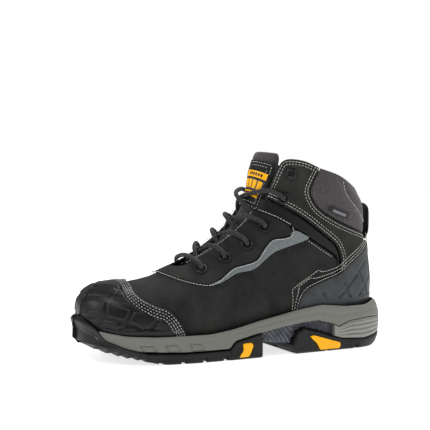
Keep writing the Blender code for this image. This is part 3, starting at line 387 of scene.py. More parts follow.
def woven(name, dark, light, pitch_mm=0.55, roughness=0.85, twill=0.0):
    surface = Surface(name, roughness)
    scale = 1.0 / (pitch_mm * MM) / 6.283 * 0.5
    warp = surface.wave(scale, "X", 0.4, (0.3, 0.2, twill))
    weft = surface.wave(scale, "Z", 0.4, (0.3, 0.2, twill))
    weave = surface.mixed(warp, weft, "MAXIMUM")
    fuzz = surface.noise(500.0, 4.0, 0.7)
    surface.colour(surface.mixed(weave, fuzz), dark, light, 0.1, 0.75)
    surface.bump(weave, 0.14, 0.7)
    surface.bump(fuzz, 0.12, 0.4)
    return surface.sheen(0.25, srgb(160, 160, 165)).material


def speckled(name, dark, light, scale, bump_mm, roughness=0.7):
    surface = Surface(name, roughness)
    surface.colour(surface.noise(scale, 5.0, 0.65), dark, light, 0.35, 0.68)
    return surface.bump(surface.noise(scale * 2.2, 4.0, 0.7), bump_mm, 0.7).material


def make_materials():
    return {
        "nubuck": nubuck("nubuck", srgb(17, 18, 17), srgb(36, 37, 35)),
        "cuff": nubuck("cuff_nubuck", srgb(22, 23, 20), srgb(42, 43, 39)),
        "guard": moulded("toe_guard_rubber", srgb(10, 11, 12), srgb(20, 21, 23), 0.34),
        "heel_guard": moulded("heel_guard_rubber", srgb(40, 42, 44), srgb(56, 58, 60), 0.46),
        "softshell": woven("softshell", srgb(42, 39, 40), srgb(84, 79, 80), 0.36),
        "flex": speckled("stretch_fabric", srgb(6, 6, 7), srgb(13, 13, 14), 900.0, 0.03, 0.55),
        "strip": woven("reflective_tape", srgb(78, 84, 85), srgb(128, 135, 136), 0.4, 0.42, 0.7),
        "thread": woven("thread", srgb(150, 150, 146), srgb(208, 208, 203), 0.3, 0.75),
        "dark_thread": woven("dark_thread", srgb(20, 20, 20), srgb(46, 46, 46), 0.3, 0.75),
        "midsole": speckled("midsole_foam", srgb(94, 95, 89), srgb(110, 111, 105), 1500.0, 0.05, 0.6),
        "cradle": speckled("cradle_foam", srgb(116, 118, 112), srgb(134, 136, 129), 1500.0, 0.05, 0.56),
        "shank": moulded("shank_plastic", srgb(62, 64, 72), srgb(104, 106, 114), 0.38),
        "rubber": moulded("outsole_rubber", srgb(9, 9, 9), srgb(22, 22, 21), 0.46),
        "yellow": moulded("yellow_tpu", srgb(226, 158, 2), srgb(240, 176, 8), 0.42),
        "metal": moulded("black_lacquer", srgb(12, 12, 13), srgb(28, 28, 30), 0.25),
        "lace": woven("lace_braid", srgb(24, 24, 25), srgb(62, 61, 62), 0.5, 0.85),
        "webbing": woven("webbing", srgb(11, 11, 12), srgb(32, 32, 33), 0.9, 0.8),
        "lining": woven("spacer_mesh", srgb(16, 16, 17), srgb(40, 40, 42), 1.1, 0.9),
        "footbed": speckled("footbed_felt", srgb(30, 31, 33), srgb(58, 59, 62), 260.0, 0.2, 0.92),
        "label": woven("label_cloth", srgb(14, 16, 26), srgb(32, 34, 46), 0.4, 0.7),
        "label_grey": woven("label_grey", srgb(52, 54, 62), srgb(84, 86, 94), 0.4, 0.7),
        "tab": woven("tab_cloth", srgb(20, 20, 22), srgb(42, 42, 44), 0.45, 0.7),
        "tab_mark": woven("tab_mark", srgb(84, 86, 90), srgb(128, 130, 134), 0.4, 0.7),
    }


# ---------------------------------------------------------------- the surface of the upper


def station_row(u):
    knots, values = STATIONS[:, 0], STATIONS[:, 1:]
    slopes = np.gradient(values, knots, axis=0)
    i = np.clip(np.searchsorted(knots, u, side="right") - 1, 0, len(knots) - 2)
    width = (knots[i + 1] - knots[i])[..., None]
    t = (u - knots[i])[..., None] / width
    return (
        (2 * t**3 - 3 * t**2 + 1) * values[i]
        + (t**3 - 2 * t**2 + t) * width * slopes[i]
        + (3 * t**2 - 2 * t**3) * values[i + 1]
        + (t**3 - t**2) * width * slopes[i + 1]
    )


def closing(t, power):
    return np.maximum(0.0, 1.0 - t**power) ** (1.0 / power)


def surface_point(u, v):
    in_toe = u < TOE_ROUND_STATION
    reach = np.cos(np.clip(u / TOE_ROUND_STATION, 0, 1) * math.pi / 2)
    toe_x = TOE_ROUND_X + (TOE_X - TOE_ROUND_X) * reach
    toe_station = np.interp(toe_x, [TOE_X, -128, -104, TOE_ROUND_X], [0, 0.1, 0.2, TOE_ROUND_STATION])
    row = station_row(np.where(in_toe, toe_station, u))
    top_x, top_z, low_x, low_z, lateral, medial, widest, top_power, low_power = np.moveaxis(row, -1, 0)
    top_z = np.where(in_toe, TOE_POLE_Z + (top_z - TOE_POLE_Z) * closing(reach, TOE_TOP_POWER), top_z)
    low_z = np.where(in_toe, TOE_POLE_Z + (low_z - TOE_POLE_Z) * closing(reach, TOE_BOTTOM_POWER), low_z)
    top_x, low_x = np.where(in_toe, toe_x, top_x), np.where(in_toe, toe_x, low_x)
    v = (v + 1) % 2 - 1
    half_width = np.where(v < 0, lateral, medial) * closing(reach, TOE_PLAN_POWER)
    girth = np.abs(v)
    upper_angle = np.clip(2 * girth, 0, 1) * math.pi / 2
    lower_angle = np.clip(2 * girth - 1, 0, 1) * math.pi / 2
    upper = girth < 0.5
    across = np.where(
        upper, np.sin(upper_angle) ** (2 / top_power), np.maximum(np.cos(lower_angle), 0) ** (2 / low_power)
    )
    down = np.where(
        upper,
        widest * (1 - np.maximum(np.cos(upper_angle), 0) ** (2 / top_power)),
        widest + (1 - widest) * np.sin(lower_angle) ** (2 / low_power),
    )
    side = np.where(v < 0, -1.0, 1.0)
    x, y, z = top_x + (low_x - top_x) * down, side * half_width * across, top_z + (low_z - top_z) * down
    return np.stack([x, y, z], -1)


def slopes_at(u, v):
    """How a surface point moves for each unit of u and of v."""
    step = 0.001
    inner = np.clip(u, 0.004, 1 - step)
    along = (surface_point(inner + step, v) - surface_point(inner - step, v)) / (2 * step)
    around = (surface_point(inner, v + step) - surface_point(inner, v - step)) / (2 * step)
    return along, around


def normals(u, v):
    u, v = np.broadcast_arrays(np.asarray(u, float), np.asarray(v, float))
    along, around = slopes_at(u, v)
    normal = np.cross(along, around)
    normal /= np.linalg.norm(normal, axis=-1, keepdims=True) + 1e-12
    return np.where((u < 0.004)[..., None], [-1.0, 0.0, 0.0], normal)


def surface(u, v, h=0.0):
    u, v, h = np.broadcast_arrays(np.asarray(u, float), np.asarray(v, float), np.asarray(h, float))
    return surface_point(u, v) + normals(u, v) * h[..., None]


GRID_U, GRID_G = np.meshgrid(np.linspace(0, 1, 181), np.linspace(0, 1, 181), indexing="ij")
GRID_POINTS = surface_point(GRID_U, GRID_G)


def nearest_index(points, x, z):
    gap = (points[..., 0] - x) ** 2 + (points[..., 2] - z) ** 2
    return np.unravel_index(gap.argmin(), gap.shape)


def locate(x, z):
    """Station and girth of the point that side view shows at (x, z)."""
    place = nearest_index(GRID_POINTS, x, z)
    best_u, best_g, reach = GRID_U[place], GRID_G[place], 1.2 / 180
    for _ in range(3):
        spans = [np.linspace(max(0.0, best - reach), min(1.0, best + reach), 11) for best in (best_u, best_g)]
        u, g = np.meshgrid(*spans, indexing="ij")
        place = nearest_index(surface_point(u, g), x, z)
        best_u, best_g, reach = u[place], g[place], reach * 0.22
    return float(best_u), float(best_g)


def girth_at(u, y):
    row = station_row(np.asarray(u, float))
    half_width = row[..., 4] if y < 0 else row[..., 5]
    angle = np.arcsin(np.minimum(1.0, (abs(y) / half_width) ** (row[..., 7] / 2)))
    return math.copysign(1.0, y) * angle / math.pi


def smooth_line(route, pieces):
    """The Catmull-Rom curve through the route, each stretch in the same number of pieces."""
    route = np.array(route, float)
    ends = np.vstack([2 * route[0] - route[1], route, 2 * route[-1] - route[-2]])
    line = []
    for a, b, c, d in zip(ends, ends[1:], ends[2:], ends[3:]):
        for t in np.arange(pieces) / pieces:
            square, cube = 2 * a - 5 * b + 4 * c - d, 3 * b - a - 3 * c + d
            line.append(0.5 * (2 * b + (c - a) * t + square * t**2 + cube * t**3))
    return np.array([*line, route[-1]])


def even(line, step):
    """Points at an even distance along a line."""
    line = np.array(line, float)
    run = np.concatenate([[0], np.cumsum(np.linalg.norm(np.diff(line, axis=0), axis=1))])
    places = np.linspace(0, run[-1], max(2, round(run[-1] / step) + 1))
    return np.stack([np.interp(places, run, line[:, k]) for k in range(line.shape[1])], axis=1)


def traced(*stretches, step=2.0):
    """(station, girth) along smooth side-view stretches that meet at corners."""
    line = []
    for stretch in stretches:
        places = even(smooth_line(stretch, 8), step)
        line += [locate(x, z) for x, z in (places if stretch is stretches[-1] else places[:-1])]
    return line


def over_ridge(half):
    return [(u, -g) for u, g in half] + [(u, g) for u, g in reversed(half) if g > 0]


def round_heel(half):
    return [(u, -g) for u, g in half] + [(u, g - 2) for u, g in reversed(half) if g < 1]


def on_side(outline, side):
    return [(u, side * min(g, GIRTH_END)) for u, g in outline]


def both_sides(half):
    """A half outline that starts at the ridge and ends at the tip of the toe, on both sides."""
    return on_side(half, -1) + on_side([(u, g) for u, g in reversed(half) if g > 0], 1)


def polygon(corners):
    """The straight-sided outline through side-view corners, the last of which is the first again."""
    return traced(*zip(corners, corners[1:]))[:-1]


def to_tip(half):
    """A half outline carried on from its foot to the tip of the toe."""
    return [*half, (0.05, half[-1][1]), (0.0, half[-1][1])]


# ---------------------------------------------------------------- mesh making

WELD_M = 2e-6
BRAID_PITCH = 5.2


def add_mesh(name, points, faces, material, smooth_angle=50.0):
    mesh = bpy.data.meshes.new(name)
    vertices = (np.asarray(points, float) - MIDDLE) * MM
    mesh.from_pydata(vertices.tolist(), [], faces)
    mesh.validate()
    mesh.materials.append(material)
    mesh.shade_smooth()
    mesh.set_sharp_from_angle(angle=math.radians(smooth_angle))
    piece = bpy.data.objects.new(name, mesh)
    bpy.context.scene.collection.objects.link(piece)
    return piece


def weld(piece):
    """Joins the points that coincide, and turns the faces outwards."""
    shape = bmesh.new()
    shape.from_mesh(piece.data)
    bmesh.ops.remove_doubles(shape, verts=shape.verts, dist=WELD_M)
    bmesh.ops.recalc_face_normals(shape, faces=shape.faces)
    if shape.calc_volume(signed=True) < 0:
        bmesh.ops.reverse_faces(shape, faces=shape.faces)
    shape.to_mesh(piece.data)
    shape.free()
    return piece


def joined(parts):
    """The points and faces of several meshes as those of one."""
    points, faces, start = [], [], 0
    for part_points, part_faces in parts:
        points.append(part_points)
        faces += [tuple(start + k for k in face) for face in part_faces]
        start += len(part_points)
    return np.concatenate(points), faces


def many_inside(spots, loop):
    """Which of an array of points lie inside a closed loop."""
    loop = np.array(loop)
    result = np.zeros(len(spots), bool)
    for (xa, ya), (xb, yb) in zip(loop, np.roll(loop, -1, axis=0)):
        if ya == yb:
            continue
        crosses = ((ya > spots[:, 1]) != (yb > spots[:, 1])) & (
            spots[:, 0] < xa + (xb - xa) * (spots[:, 1] - ya) / (yb - ya)
        )
        result ^= crosses
    return result


def divided(loop, longest):
    result = []
    for (xa, ya), (xb, yb) in zip(loop, loop[1:] + loop[:1]):
        pieces = max(1, math.ceil(math.hypot(xb - xa, yb - ya) / longest))
        result += [(xa + (xb - xa) * k / pieces, ya + (yb - ya) * k / pieces) for k in range(pieces)]
    return result


def shifted(u, v, vectors):
    """Surface coordinates after moving along the surface by vectors, in millimetres."""
    along, around = slopes_at(u, v)
    aa, bb, ab = (along**2).sum(-1), (around**2).sum(-1), (along * around).sum(-1)
    pa, pb = (along * vectors).sum(-1), (around * vectors).sum(-1)
    det = np.maximum(aa * bb - ab**2, 1e-9)
    return u + (pa * bb - pb * ab) / det, v + (pb * aa - pa * ab) / det


def hole_loop(u, v, radius, sides=20):
    centre_u, centre_v = np.full(sides, u), np.full(sides, v)
    along, _ = slopes_at(centre_u, centre_v)
    first = along / np.linalg.norm(along, axis=-1, keepdims=True)
    second = np.cross(normals(centre_u, centre_v), first)
    turns = np.arange(sides) * 2 * math.pi / sides
    move = radius * (np.cos(turns)[:, None] * first + np.sin(turns)[:, None] * second)
    new_u, new_v = shifted(centre_u, centre_v, move)
    return [(a * U_TO_MM, b * V_TO_MM) for a, b in zip(new_u, new_v)]


def distances(points, lines):
    """Distance of each point to the nearest of some densely sampled lines."""
    samples = np.concatenate(lines)
    tree = KDTree(len(samples))
    for k, sample in enumerate(samples):
        tree.insert(sample, k)
    tree.balance()
    return np.array([tree.find(p)[2] for p in points])


def edges_of(triangles):
    return np.concatenate([triangles[:, [0, 1]], triangles[:, [1, 2]], triangles[:, [2, 0]]])


def quartered(corners, triangles):
    """Each triangle cut into four."""
    unique, which = np.unique(np.sort(edges_of(triangles), axis=1), axis=0, return_inverse=True)
    middles = (corners[unique[:, 0]] + corners[unique[:, 1]]) / 2
    count, first = len(triangles), len(corners)
    ab, bc, ca = (first + which.reshape(-1)[k * count : (k + 1) * count] for k in range(3))
    a, b, c = triangles.T
    cut = [np.stack(t, 1) for t in ((a, ab, ca), (ab, b, bc), (ca, bc, c), (ab, bc, ca))]
    return np.concatenate([corners, middles]), np.concatenate(cut)


def triangulated(loops, step):
    """Corners and triangles of the area inside the first loop and outside the others."""
    spots, edges = [], []
    for loop in loops:
        first = len(spots)
        spots += loop
        edges += [(first + k, first + (k + 1) % len(loop)) for k in range(len(loop))]
    extent = zip(np.min(loops[0], axis=0), np.max(loops[0], axis=0))
    axes = [np.arange(low + step / 2, high, step) for low, high in extent]
    lattice = np.stack(np.meshgrid(*axes, indexing="ij"), -1).reshape(-1, 2)
    keep = many_inside(lattice, loops[0])
    for loop in loops[1:]:
        keep &= ~many_inside(lattice, loop)
    lattice = lattice[keep]
    near = np.min(np.linalg.norm(lattice[:, None] - np.array(spots)[None], axis=2), axis=1)
    spots += [tuple(p) for p in lattice[near > 0.45 * step]]
    cut = delaunay_2d_cdt([Vector(s) for s in spots], edges, [], 1, 1e-5)
    corners, triangles = (np.array([tuple(s) for s in part]) for part in (cut[0], cut[2]))
    for loop in loops[1:]:
        triangles = triangles[~many_inside(corners[triangles].mean(1), loop)]
    return corners, triangles


def shell(top, bottom, triangles):
    """Points and faces of a closed piece between two layers of the same triangles."""
    count = len(top)
    directed = edges_of(triangles)
    _, first, times = np.unique(np.sort(directed, axis=1), axis=0, return_index=True, return_counts=True)
    border = directed[first[times == 1]]
    faces = [tuple(t) for t in triangles.tolist()]
    faces += [(c + count, b + count, a + count) for a, b, c in triangles.tolist()]
    faces += [(b, a, a + count, b + count) for a, b in border.tolist()]
    return np.concatenate([top, bottom]), faces


def sheet(name, outline, low, high, material, holes=(), step=4.0, halvings=1, roll=1.0, relief=None):
    """A piece of sheet on the upper with rolled edges. relief(points, edge) adds height."""
    loops = [divided([(u * U_TO_MM, v * V_TO_MM) for u, v in outline], 1.3 * step)]
    loops += [hole_loop(*hole) for hole in holes]
    corners, triangles = triangulated(loops, step)
    for _ in range(halvings):
        corners, triangles = quartered(corners, triangles)
    u, v = (corners / PATTERN_SCALE).T
    base, normal = surface_point(u, v), normals(u, v)
    lines = [surface_point(*(np.array(loop) / PATTERN_SCALE).T) for loop in loops]
    edge = distances(base, [even(np.vstack([line, line[:1]]), 0.7) for line in lines])
    rounding = np.clip(1 - edge / roll, 0, 1)
    drop = (1 - np.sqrt(np.maximum(0, 1 - rounding**2))) * min(roll, 0.72 * (high - low))
    top = high - drop + (relief(base, edge) if relief else 0.0)
    points, faces = shell(base + normal * top[:, None], base + normal * low, triangles)
    return weld(add_mesh(name, points, faces, material))


def bridged(rings, closed=False):
    """Points and faces of a tube through rings of equal size, with its ends filled unless it is closed."""
    rings = np.asarray(rings, float)
    count, size = rings.shape[:2]
    faces = []
    for r in range(count if closed else count - 1):
        after = (r + 1) % count
        for k in range(size):
            side = (k + 1) % size
            faces.append((r * size + k, r * size + side, after * size + side, after * size + k))
    if not closed:
        faces += [tuple(reversed(range(size))), tuple((count - 1) * size + k for k in range(size))]
    return rings.reshape(-1, 3), faces


def round_the_circle(sides):
    return np.arange(sides) * 2 * math.pi / sides


def frames_along(line):
    """Unit vectors ahead, across and over at each point of a line, without twist."""
    ahead = np.gradient(line, axis=0)
    ahead /= np.linalg.norm(ahead, axis=1, keepdims=True)
    across = np.cross(ahead[0], [0.0, 0.0, 1.0])
    result = []
    for forward in ahead:
        across = across - forward * (across @ forward)
        across = across / np.linalg.norm(across)
        result.append((forward, across, np.cross(forward, across)))
    return result


def braid(name, line, diameter, material, sides=16, step=0.8):
    """A round braided cord along a line: strands cross over each other in both directions."""
    line = even(line, step)
    turns = round_the_circle(sides)
    rings = []
    for k, (place, (_, across, over)) in enumerate(zip(line, frames_along(line))):
        phase = k * step / BRAID_PITCH * 2 * math.pi
        strands = np.maximum(np.cos(3 * turns + phase), np.cos(3 * turns - phase))
        radius = (diameter / 2 * (0.93 + 0.07 * strands))[:, None]
        rings.append(place + radius * (np.cos(turns)[:, None] * across + np.sin(turns)[:, None] * over))
    return weld(add_mesh(name, *bridged(rings), material, 80.0))


# ---------------------------------------------------------------- stitching

# How far each of a stitch's five sections stands up, in millimetres, and its share of the thread's thickness.
STITCH_SHAPE = ((-0.35, 0.75), (0.12, 1.0), (0.28, 1.05), (0.12, 1.0), (-0.35, 0.75))


def row_of_stitches(u, v, height, long=2.3, pitch=3.0, thick=0.55):
    """Points and faces of the stitches along a line on the upper at a height over the last."""
    line = even(np.hstack([surface(u, v, height), normals(u, v)]), 0.5)
    run = np.arange(len(line)) * 0.5
    turns = np.arange(6) * math.pi / 3
    parts = []
    for start in np.arange(0.4, run[-1] - long, pitch):
        at = start + np.linspace(0, 1, 5) * long
        where, over = np.split(np.stack([np.interp(at, run, column) for column in line.T], 1), 2, axis=1)
        over /= np.linalg.norm(over, axis=1, keepdims=True)
        forward = np.gradient(where, axis=0)
        forward /= np.linalg.norm(forward, axis=1, keepdims=True)
        across = np.cross(forward, over)
        rings = []
        for k, (lift, size) in enumerate(STITCH_SHAPE):
            ring = np.cos(turns)[:, None] * across[k] + 0.85 * np.sin(turns)[:, None] * over[k]
            rings.append(where[k] + over[k] * lift + thick / 2 * size * ring)
        parts.append(bridged(rings))
    return parts


def inset_line(line, distance):
    """A line on the upper moved sideways along the surface: to its left for a positive distance."""
    u, v = np.array(line, float).T
    places = surface_point(u, v)
    ahead = np.gradient(places, axis=0)
    ahead /= np.linalg.norm(ahead, axis=1, keepdims=True) + 1e-9
    return shifted(u, v, np.cross(normals(u, v), ahead) * distance)


def stitching(name, body, rows, material, **thread):
    """One piece holding several rows; each row is (u, v, height)."""
    parts = [part for row in rows for part in row_of_stitches(*row, **thread)]
    piece = add_mesh(name, *joined(parts), material, 80.0)
    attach(piece, body)


def rows_beside(half, distances_in, height, towards=1):
    """Stitch rows beside a traced line, on both sides of the boot."""
    rows = []
    for side, _ in SIDES:
        line = [(u, side * g) for u, g in half]
        rows += [(*inset_line(line, side * towards * distance), height) for distance in distances_in]
    return rows


# ---------------------------------------------------------------- pieces of the upper


def hump(value, width, power=2):
    """A smooth bump of height 1 round a value of 0."""
    return np.exp(-((value / width) ** power))


def smooth_step(value, low, high):
    t = np.clip((value - low) / (high - low), 0, 1)
    return t * t * (3 - 2 * t)


def line_distances(points, lines):
    """Distance of each point to the nearest of some lines on the upper, which lie on both sides."""
    samples = []
    for line in lines:
        u, g = (even(smooth_line(np.array(line) * PATTERN_SCALE, 8), 0.4) / PATTERN_SCALE).T
        samples += [surface_point(u, -g), surface_point(u, g)]
    return distances(points, samples)


def toe_relief(points, edge):
    """Raised plates with a fine bead round them, straps between, and a plain flange for the stitching."""
    gap = line_distances(points, TOE_STRAPS)
    plate_height = smooth_step(gap, 1.7, 2.5)
    flange = smooth_step(edge, 9.0, 10.0)
    groove = hump(edge - 9.3, 0.6) * (points[:, 2] > 30)
    return -1.1 * flange * (1 - plate_height) + 0.22 * flange * hump(gap - 3.0, 0.5) - 0.3 * groove


def heel_relief(points, edge):
    """Broad plates cut by narrow grooves, and a raised flange along the top."""
    steep, thin = (
        line_distances(points, [traced(groove, step=0.8) for groove in grooves])
        for grooves in (STEEP_GROOVES, THIN_GROOVES)
    )
    cut = np.maximum(1 - smooth_step(steep, 0.6, 1.4), 0.8 * (1 - smooth_step(thin, 0.4, 1.1)))
    flange = 1 - smooth_step(edge, 8.8, 9.6)
    return -1.3 * cut * (1 - flange) + 0.35 * flange


def soft_relief(depth):
    """A slight hollow where the stitching pulls the edge down."""
    return lambda points, edge: -depth * hump(edge - 2.2, 1.1)


def vamp_relief(points, edge):
    """Faint creases over the toe bend and a full, soft quarter."""
    x, z = points[:, 0], points[:, 2]
    bend = hump(x + 66, 16) * np.clip((z - 34) / 25, 0, 1)
    creases = np.sin((x + 0.3 * np.abs(points[:, 1])) * 0.62) * bend * 0.22
    return creases - 0.5 * hump(x - 62, 20) * hump(z - 62, 16)


def panel_relief(points, edge):
    """The padded collar swells between its seams."""
    pad = 3.0 * smooth_step(edge, 0.0, 13.0)
    dart = even(smooth_line(COLLAR_DART, 8), 1.0)
    gap = np.min(np.linalg.norm(points[:, None, ::2] - dart[None], axis=2), axis=1)
    return pad - np.minimum(1.6 * hump(gap, 3.0), pad * 0.8)


def quilted_relief(points, edge):
    """The collar's lining is a little fuller away from its seams."""
    return 0.5 * smooth_step(edge, 2, 10)


def eyelet_holes(side, numbers):
    """Station, girth and radius of some of the eyelet holes on one side."""
    return [(u, side * g, EYELET_HOLE_R) for u, g in (locate(*EYELETS[number]) for number in numbers)]


def make_guards(mat):
    shape = {"step": 3.2, "halvings": 2, "roll": 1.2}
    toe = over_ridge(to_tip(traced(TOE_GUARD_EDGE, TOE_GUARD_FOOT)))
    piece = sheet("moulded_toe_guard", toe, 1.2, 3.4, mat["guard"], relief=toe_relief, **shape)
    finished(piece, "boot", "guard", "toe_guard")
    heel = round_heel(traced(HEEL_GUARD_EDGE, HEEL_GUARD_FOOT))
    piece = sheet("moulded_heel_guard", heel, 1.2, 3.2, mat["heel_guard"], relief=heel_relief, **shape)
    finished(piece, "boot", "guard", "heel_guard")


def make_upper(mat):
    """The pieces that lie over both sides, then those that each side has."""
    make_guards(mat)
    wrap = both_sides(to_tip(traced(VAMP_TOP, VAMP_BACK, VAMP_HEEL, VAMP_BACK_SEAM, FEATHER)))
    vamp = sheet("vamp_leather", wrap, -1.6, 0.0, mat["nubuck"], step=4.5, roll=0.8, relief=vamp_relief)
    finished(vamp, "boot", "nubuck", "vamp")

    panel = round_heel(traced(PANEL_TOP, PANEL_SEAM))
    collar = sheet("collar_softshell", panel, -1.8, 0.2, mat["softshell"], step=3.4, roll=1.2,
                   relief=panel_relief)
    finished(collar, "boot", "softshell", "collar_panel")

    holes = [hole for side, _ in SIDES for hole in eyelet_holes(side, range(EYESTAY_EYELETS))]
    facing = over_ridge(traced(FACING_LOW, FACING_TIP, FACING_TOP, THROAT[::-1]))
    eyestay = sheet("eyestay_leather", facing, 0.7, FACING_TOP_H + 0.1, mat["nubuck"], holes, step=3.0,
                    roll=0.9, relief=soft_relief(0.35))
    finished(eyestay, "boot", "nubuck", "eyestay")

    cuff = traced(CUFF_FRONT, CUFF_SEAM, CUFF_HEEL, CUFF_LOW)[:-1]
    strip = traced(STRIP_LOW, STRIP_TOP, STRIP_INNER, [STRIP_INNER[-1], STRIP_LOW[0]])[:-1]
    flex = traced(FLEX + FLEX[:1])[:-1]
    # Name, outline, heights over the last, mesh step, roll of the edge, slot and the CAD node it stands for.
    plain = (("tape", strip, 0.5, 1.4, "strip", 2.4, 0.5, "reflective", "reflective_strip"),
             ("stretch_band", flex, -2.5, -0.8, "flex", 3.0, 1.2, "flex", "flex_panel"),
             ("woven_tab", polygon(SIDE_TAB), 2.6, 3.7, "tab", 2.0, 0.5, "webbing", "side_tab"))
    for side, label in SIDES:
        holes = eyelet_holes(side, range(EYESTAY_EYELETS, len(EYELETS)))
        piece = sheet(f"{label}_cuff_leather", on_side(cuff, side), -1.8, 0.3, mat["cuff"], holes, step=3.2,
                      roll=0.9, relief=soft_relief(0.3))
        finished(piece, "boot", "nubuck", f"{label}_cuff")
        for name, outline, low, high, looks, step, roll, slot, node in plain:
            outline = on_side(outline, side)
            piece = sheet(f"{label}_{name}", outline, low, high, mat[looks], step=step, roll=roll)
            finished(piece, "boot", slot, f"{label}_{node}")
        mark = on_side(polygon(TAB_MARK), side)
        piece = sheet(f"{label}_tab_mark", mark, 3.5, 3.95, mat["tab_mark"], step=2.0, roll=0.3)
        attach(piece, "boot")


def finished(piece, body, slot, *nodes):
    """Fixes a piece to its body, as the stand-in of some CAD nodes."""
    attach(piece, body)
    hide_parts(*nodes)


def make_stitching(mat):
    """Contrast thread along the seams that the boot shows."""
    rows = rows_beside(traced(TOE_GUARD_EDGE), (1.5, 3.6, 5.7, 7.8), 3.35)
    rows += rows_beside(traced(HEEL_GUARD_EDGE), (1.8, 4.2, 6.8), 3.5)
    stitching("guard_stitches", "boot", rows, mat["thread"], thick=0.5)
    rows = rows_beside(traced(FACING_LOW, FACING_TIP), (2.3,), FACING_TOP_H)
    rows += rows_beside(traced(FACING_TOP), (2.0,), FACING_TOP_H)
    rows += rows_beside(traced(THROAT)[6:], (2.2,), FACING_TOP_H, towards=-1)
    stitching("facing_stitches", "boot", rows, mat["thread"], thick=0.6)
    rows = rows_beside(traced(CUFF_FRONT)[:-2], (2.0, 4.4), 0.25)
    rows += rows_beside(traced(CUFF_SEAM), (2.0, 4.6), 0.25)
    rows += rows_beside(traced(CUFF_LOW), (2.0, 4.6), 0.25)
    stitching("cuff_stitches", "boot", rows, mat["thread"])
    rows = rows_beside(traced(VAMP_BACK[:4])[6:], (2.0,), 0.0)
    stitching("quarter_stitches", "boot", rows, mat["thread"], thick=0.5)
    rows = rows_beside(traced(COLLAR_DART), (0.0,), 1.8)
    stitching("collar_stitches", "boot", rows, mat["thread"], long=2.6)
    rows = rows_beside(traced(STRIP_LOW), (1.6,), 1.35)
    stitching("tape_stitches", "boot", rows, mat["dark_thread"], long=1.8, thick=0.7)


def make_inside(mat):
    """Lining, collar padding and gussets."""
    lining = both_sides(to_tip(traced(LINING_TOP, LINING_BACK, LINING_FOOT, step=5.0)))
    piece = sheet("spacer_lining", lining, -7.8, -6.6, mat["lining"], step=8.0, roll=0.4)
    finished(piece, "boot", "lining", "lining")

    foam = round_heel(traced(COLLAR_RIM, COLLAR_INNER))
    piece = sheet("collar_padding", foam, -9.5, -2.2, mat["lining"], step=3.4, roll=4.2,
                  relief=quilted_relief)
    finished(piece, "boot", "foam", "collar_foam")
    for side, label in SIDES:
        inner = [(u, abs(girth_at(u, side * 22.5))) for u in np.linspace(0.43, 0.74, 24)]
        outer = [(u, abs(girth_at(u, side * 30.0))) for u in np.linspace(0.74, 0.43, 24)]
        outline = on_side(inner + outer, side)
        piece = sheet(f"{label}_gusset_cloth", outline, -7.2, -6.2, mat["lining"], roll=0.4)
        finished(piece, "boot", "lining", f"{label}_gusset")


# ---------------------------------------------------------------- tongue

TONGUE_SEAMS = (0.50, 0.60, 0.70)
# Name, start and end as shares of the label's length, inset as a share of its width, and material.
LABEL_BANDS = (("grey", 0.25, 0.66, 0.0, "label_grey"), ("top", 0.72, 0.97, 0.0, "yellow"),
               ("bar_a", 0.15, 0.21, 0.05, "yellow"), ("bar_b", 0.03, 0.11, 0.05, "yellow"))


def swell(u, y):
    """How much the padding lifts the tongue at a distance from its middle."""
    return (0.5 + line_at(TONGUE_SWELL, u)) * np.maximum(0.0, 1 - (y / line_at(TONGUE_EDGE, u)) ** 2)


def on_tongue(u, y, height):
    y = np.asarray(y, float)
    v = np.array([girth_at(u, value) if abs(value) > 0.01 else 0.0 for value in y])
    return surface(np.full(len(y), u), v, height + swell(u, y))


def tongue_ring(u, width, middle, half):
    """A closed section across the padded tongue with full, rounded sides."""
    turns = round_the_circle(36)
    y = width * np.sign(np.cos(turns)) * np.abs(np.cos(turns)) ** 0.55
    rise = np.sign(np.sin(turns)) * np.abs(np.sin(turns)) ** 0.8
    return on_tongue(u, y, middle + half * rise)


def make_tongue(mat):
    low, high = TONGUE_TOP - 9.0, TONGUE_TOP - 1.2
    rings = []
    for u in np.linspace(0.412, 0.994, 150):
        end = math.sqrt(max(0.0, 1 - (max(0.0, u - 0.968) / 0.0264) ** 2))
        quilt = sum(math.exp(-(((u - seam) / 0.005) ** 2)) for seam in TONGUE_SEAMS)
        half = (high - low) / 2 * (0.2 + 0.8 * end) - 0.6 * quilt
        rings.append(tongue_ring(u, line_at(TONGUE_EDGE, u) * (0.86 + 0.14 * end), (low + high) / 2, half))
    pad = weld(add_mesh("padded_tongue", *bridged(rings), mat["softshell"], 60.0))
    finished(pad, "tongue", "softshell", "tongue_pad")

    top = TONGUE_TOP
    facing = plate("tongue_leather", *FACING_SPAN, FACING_LATERAL, FACING_MEDIAL, top - 1.0, top + 0.3,
                   mat["nubuck"])
    finished(facing, "tongue", "nubuck", "tongue_facing")
    label = plate("label_ground", *LABEL_SPAN, LABEL_LATERAL, LABEL_MEDIAL, top + 0.3, top + 1.2,
                  mat["label"])
    finished(label, "tongue", "yellow", "tongue_label")
    for name, start, end, left, looks in LABEL_BANDS:
        label_mark(f"label_{name}", start, end, left, 1.0 - left, 1.15, 0.35, mat[looks])
    for number in range(4):
        left = 0.06 + 0.235 * number
        label_mark(f"label_block_{number + 1}", 0.29, 0.62, left, left + 0.18, 1.45, 0.4, mat["yellow"])
    for number in range(6):
        left = 0.16 + 0.115 * number
        label_mark(f"label_slot_{number + 1}", 0.79, 0.90, left, left + 0.075, 1.45, 0.2, mat["label"])
    stitching("tongue_stitches", "tongue", facing_rows(), mat["thread"], thick=0.5)


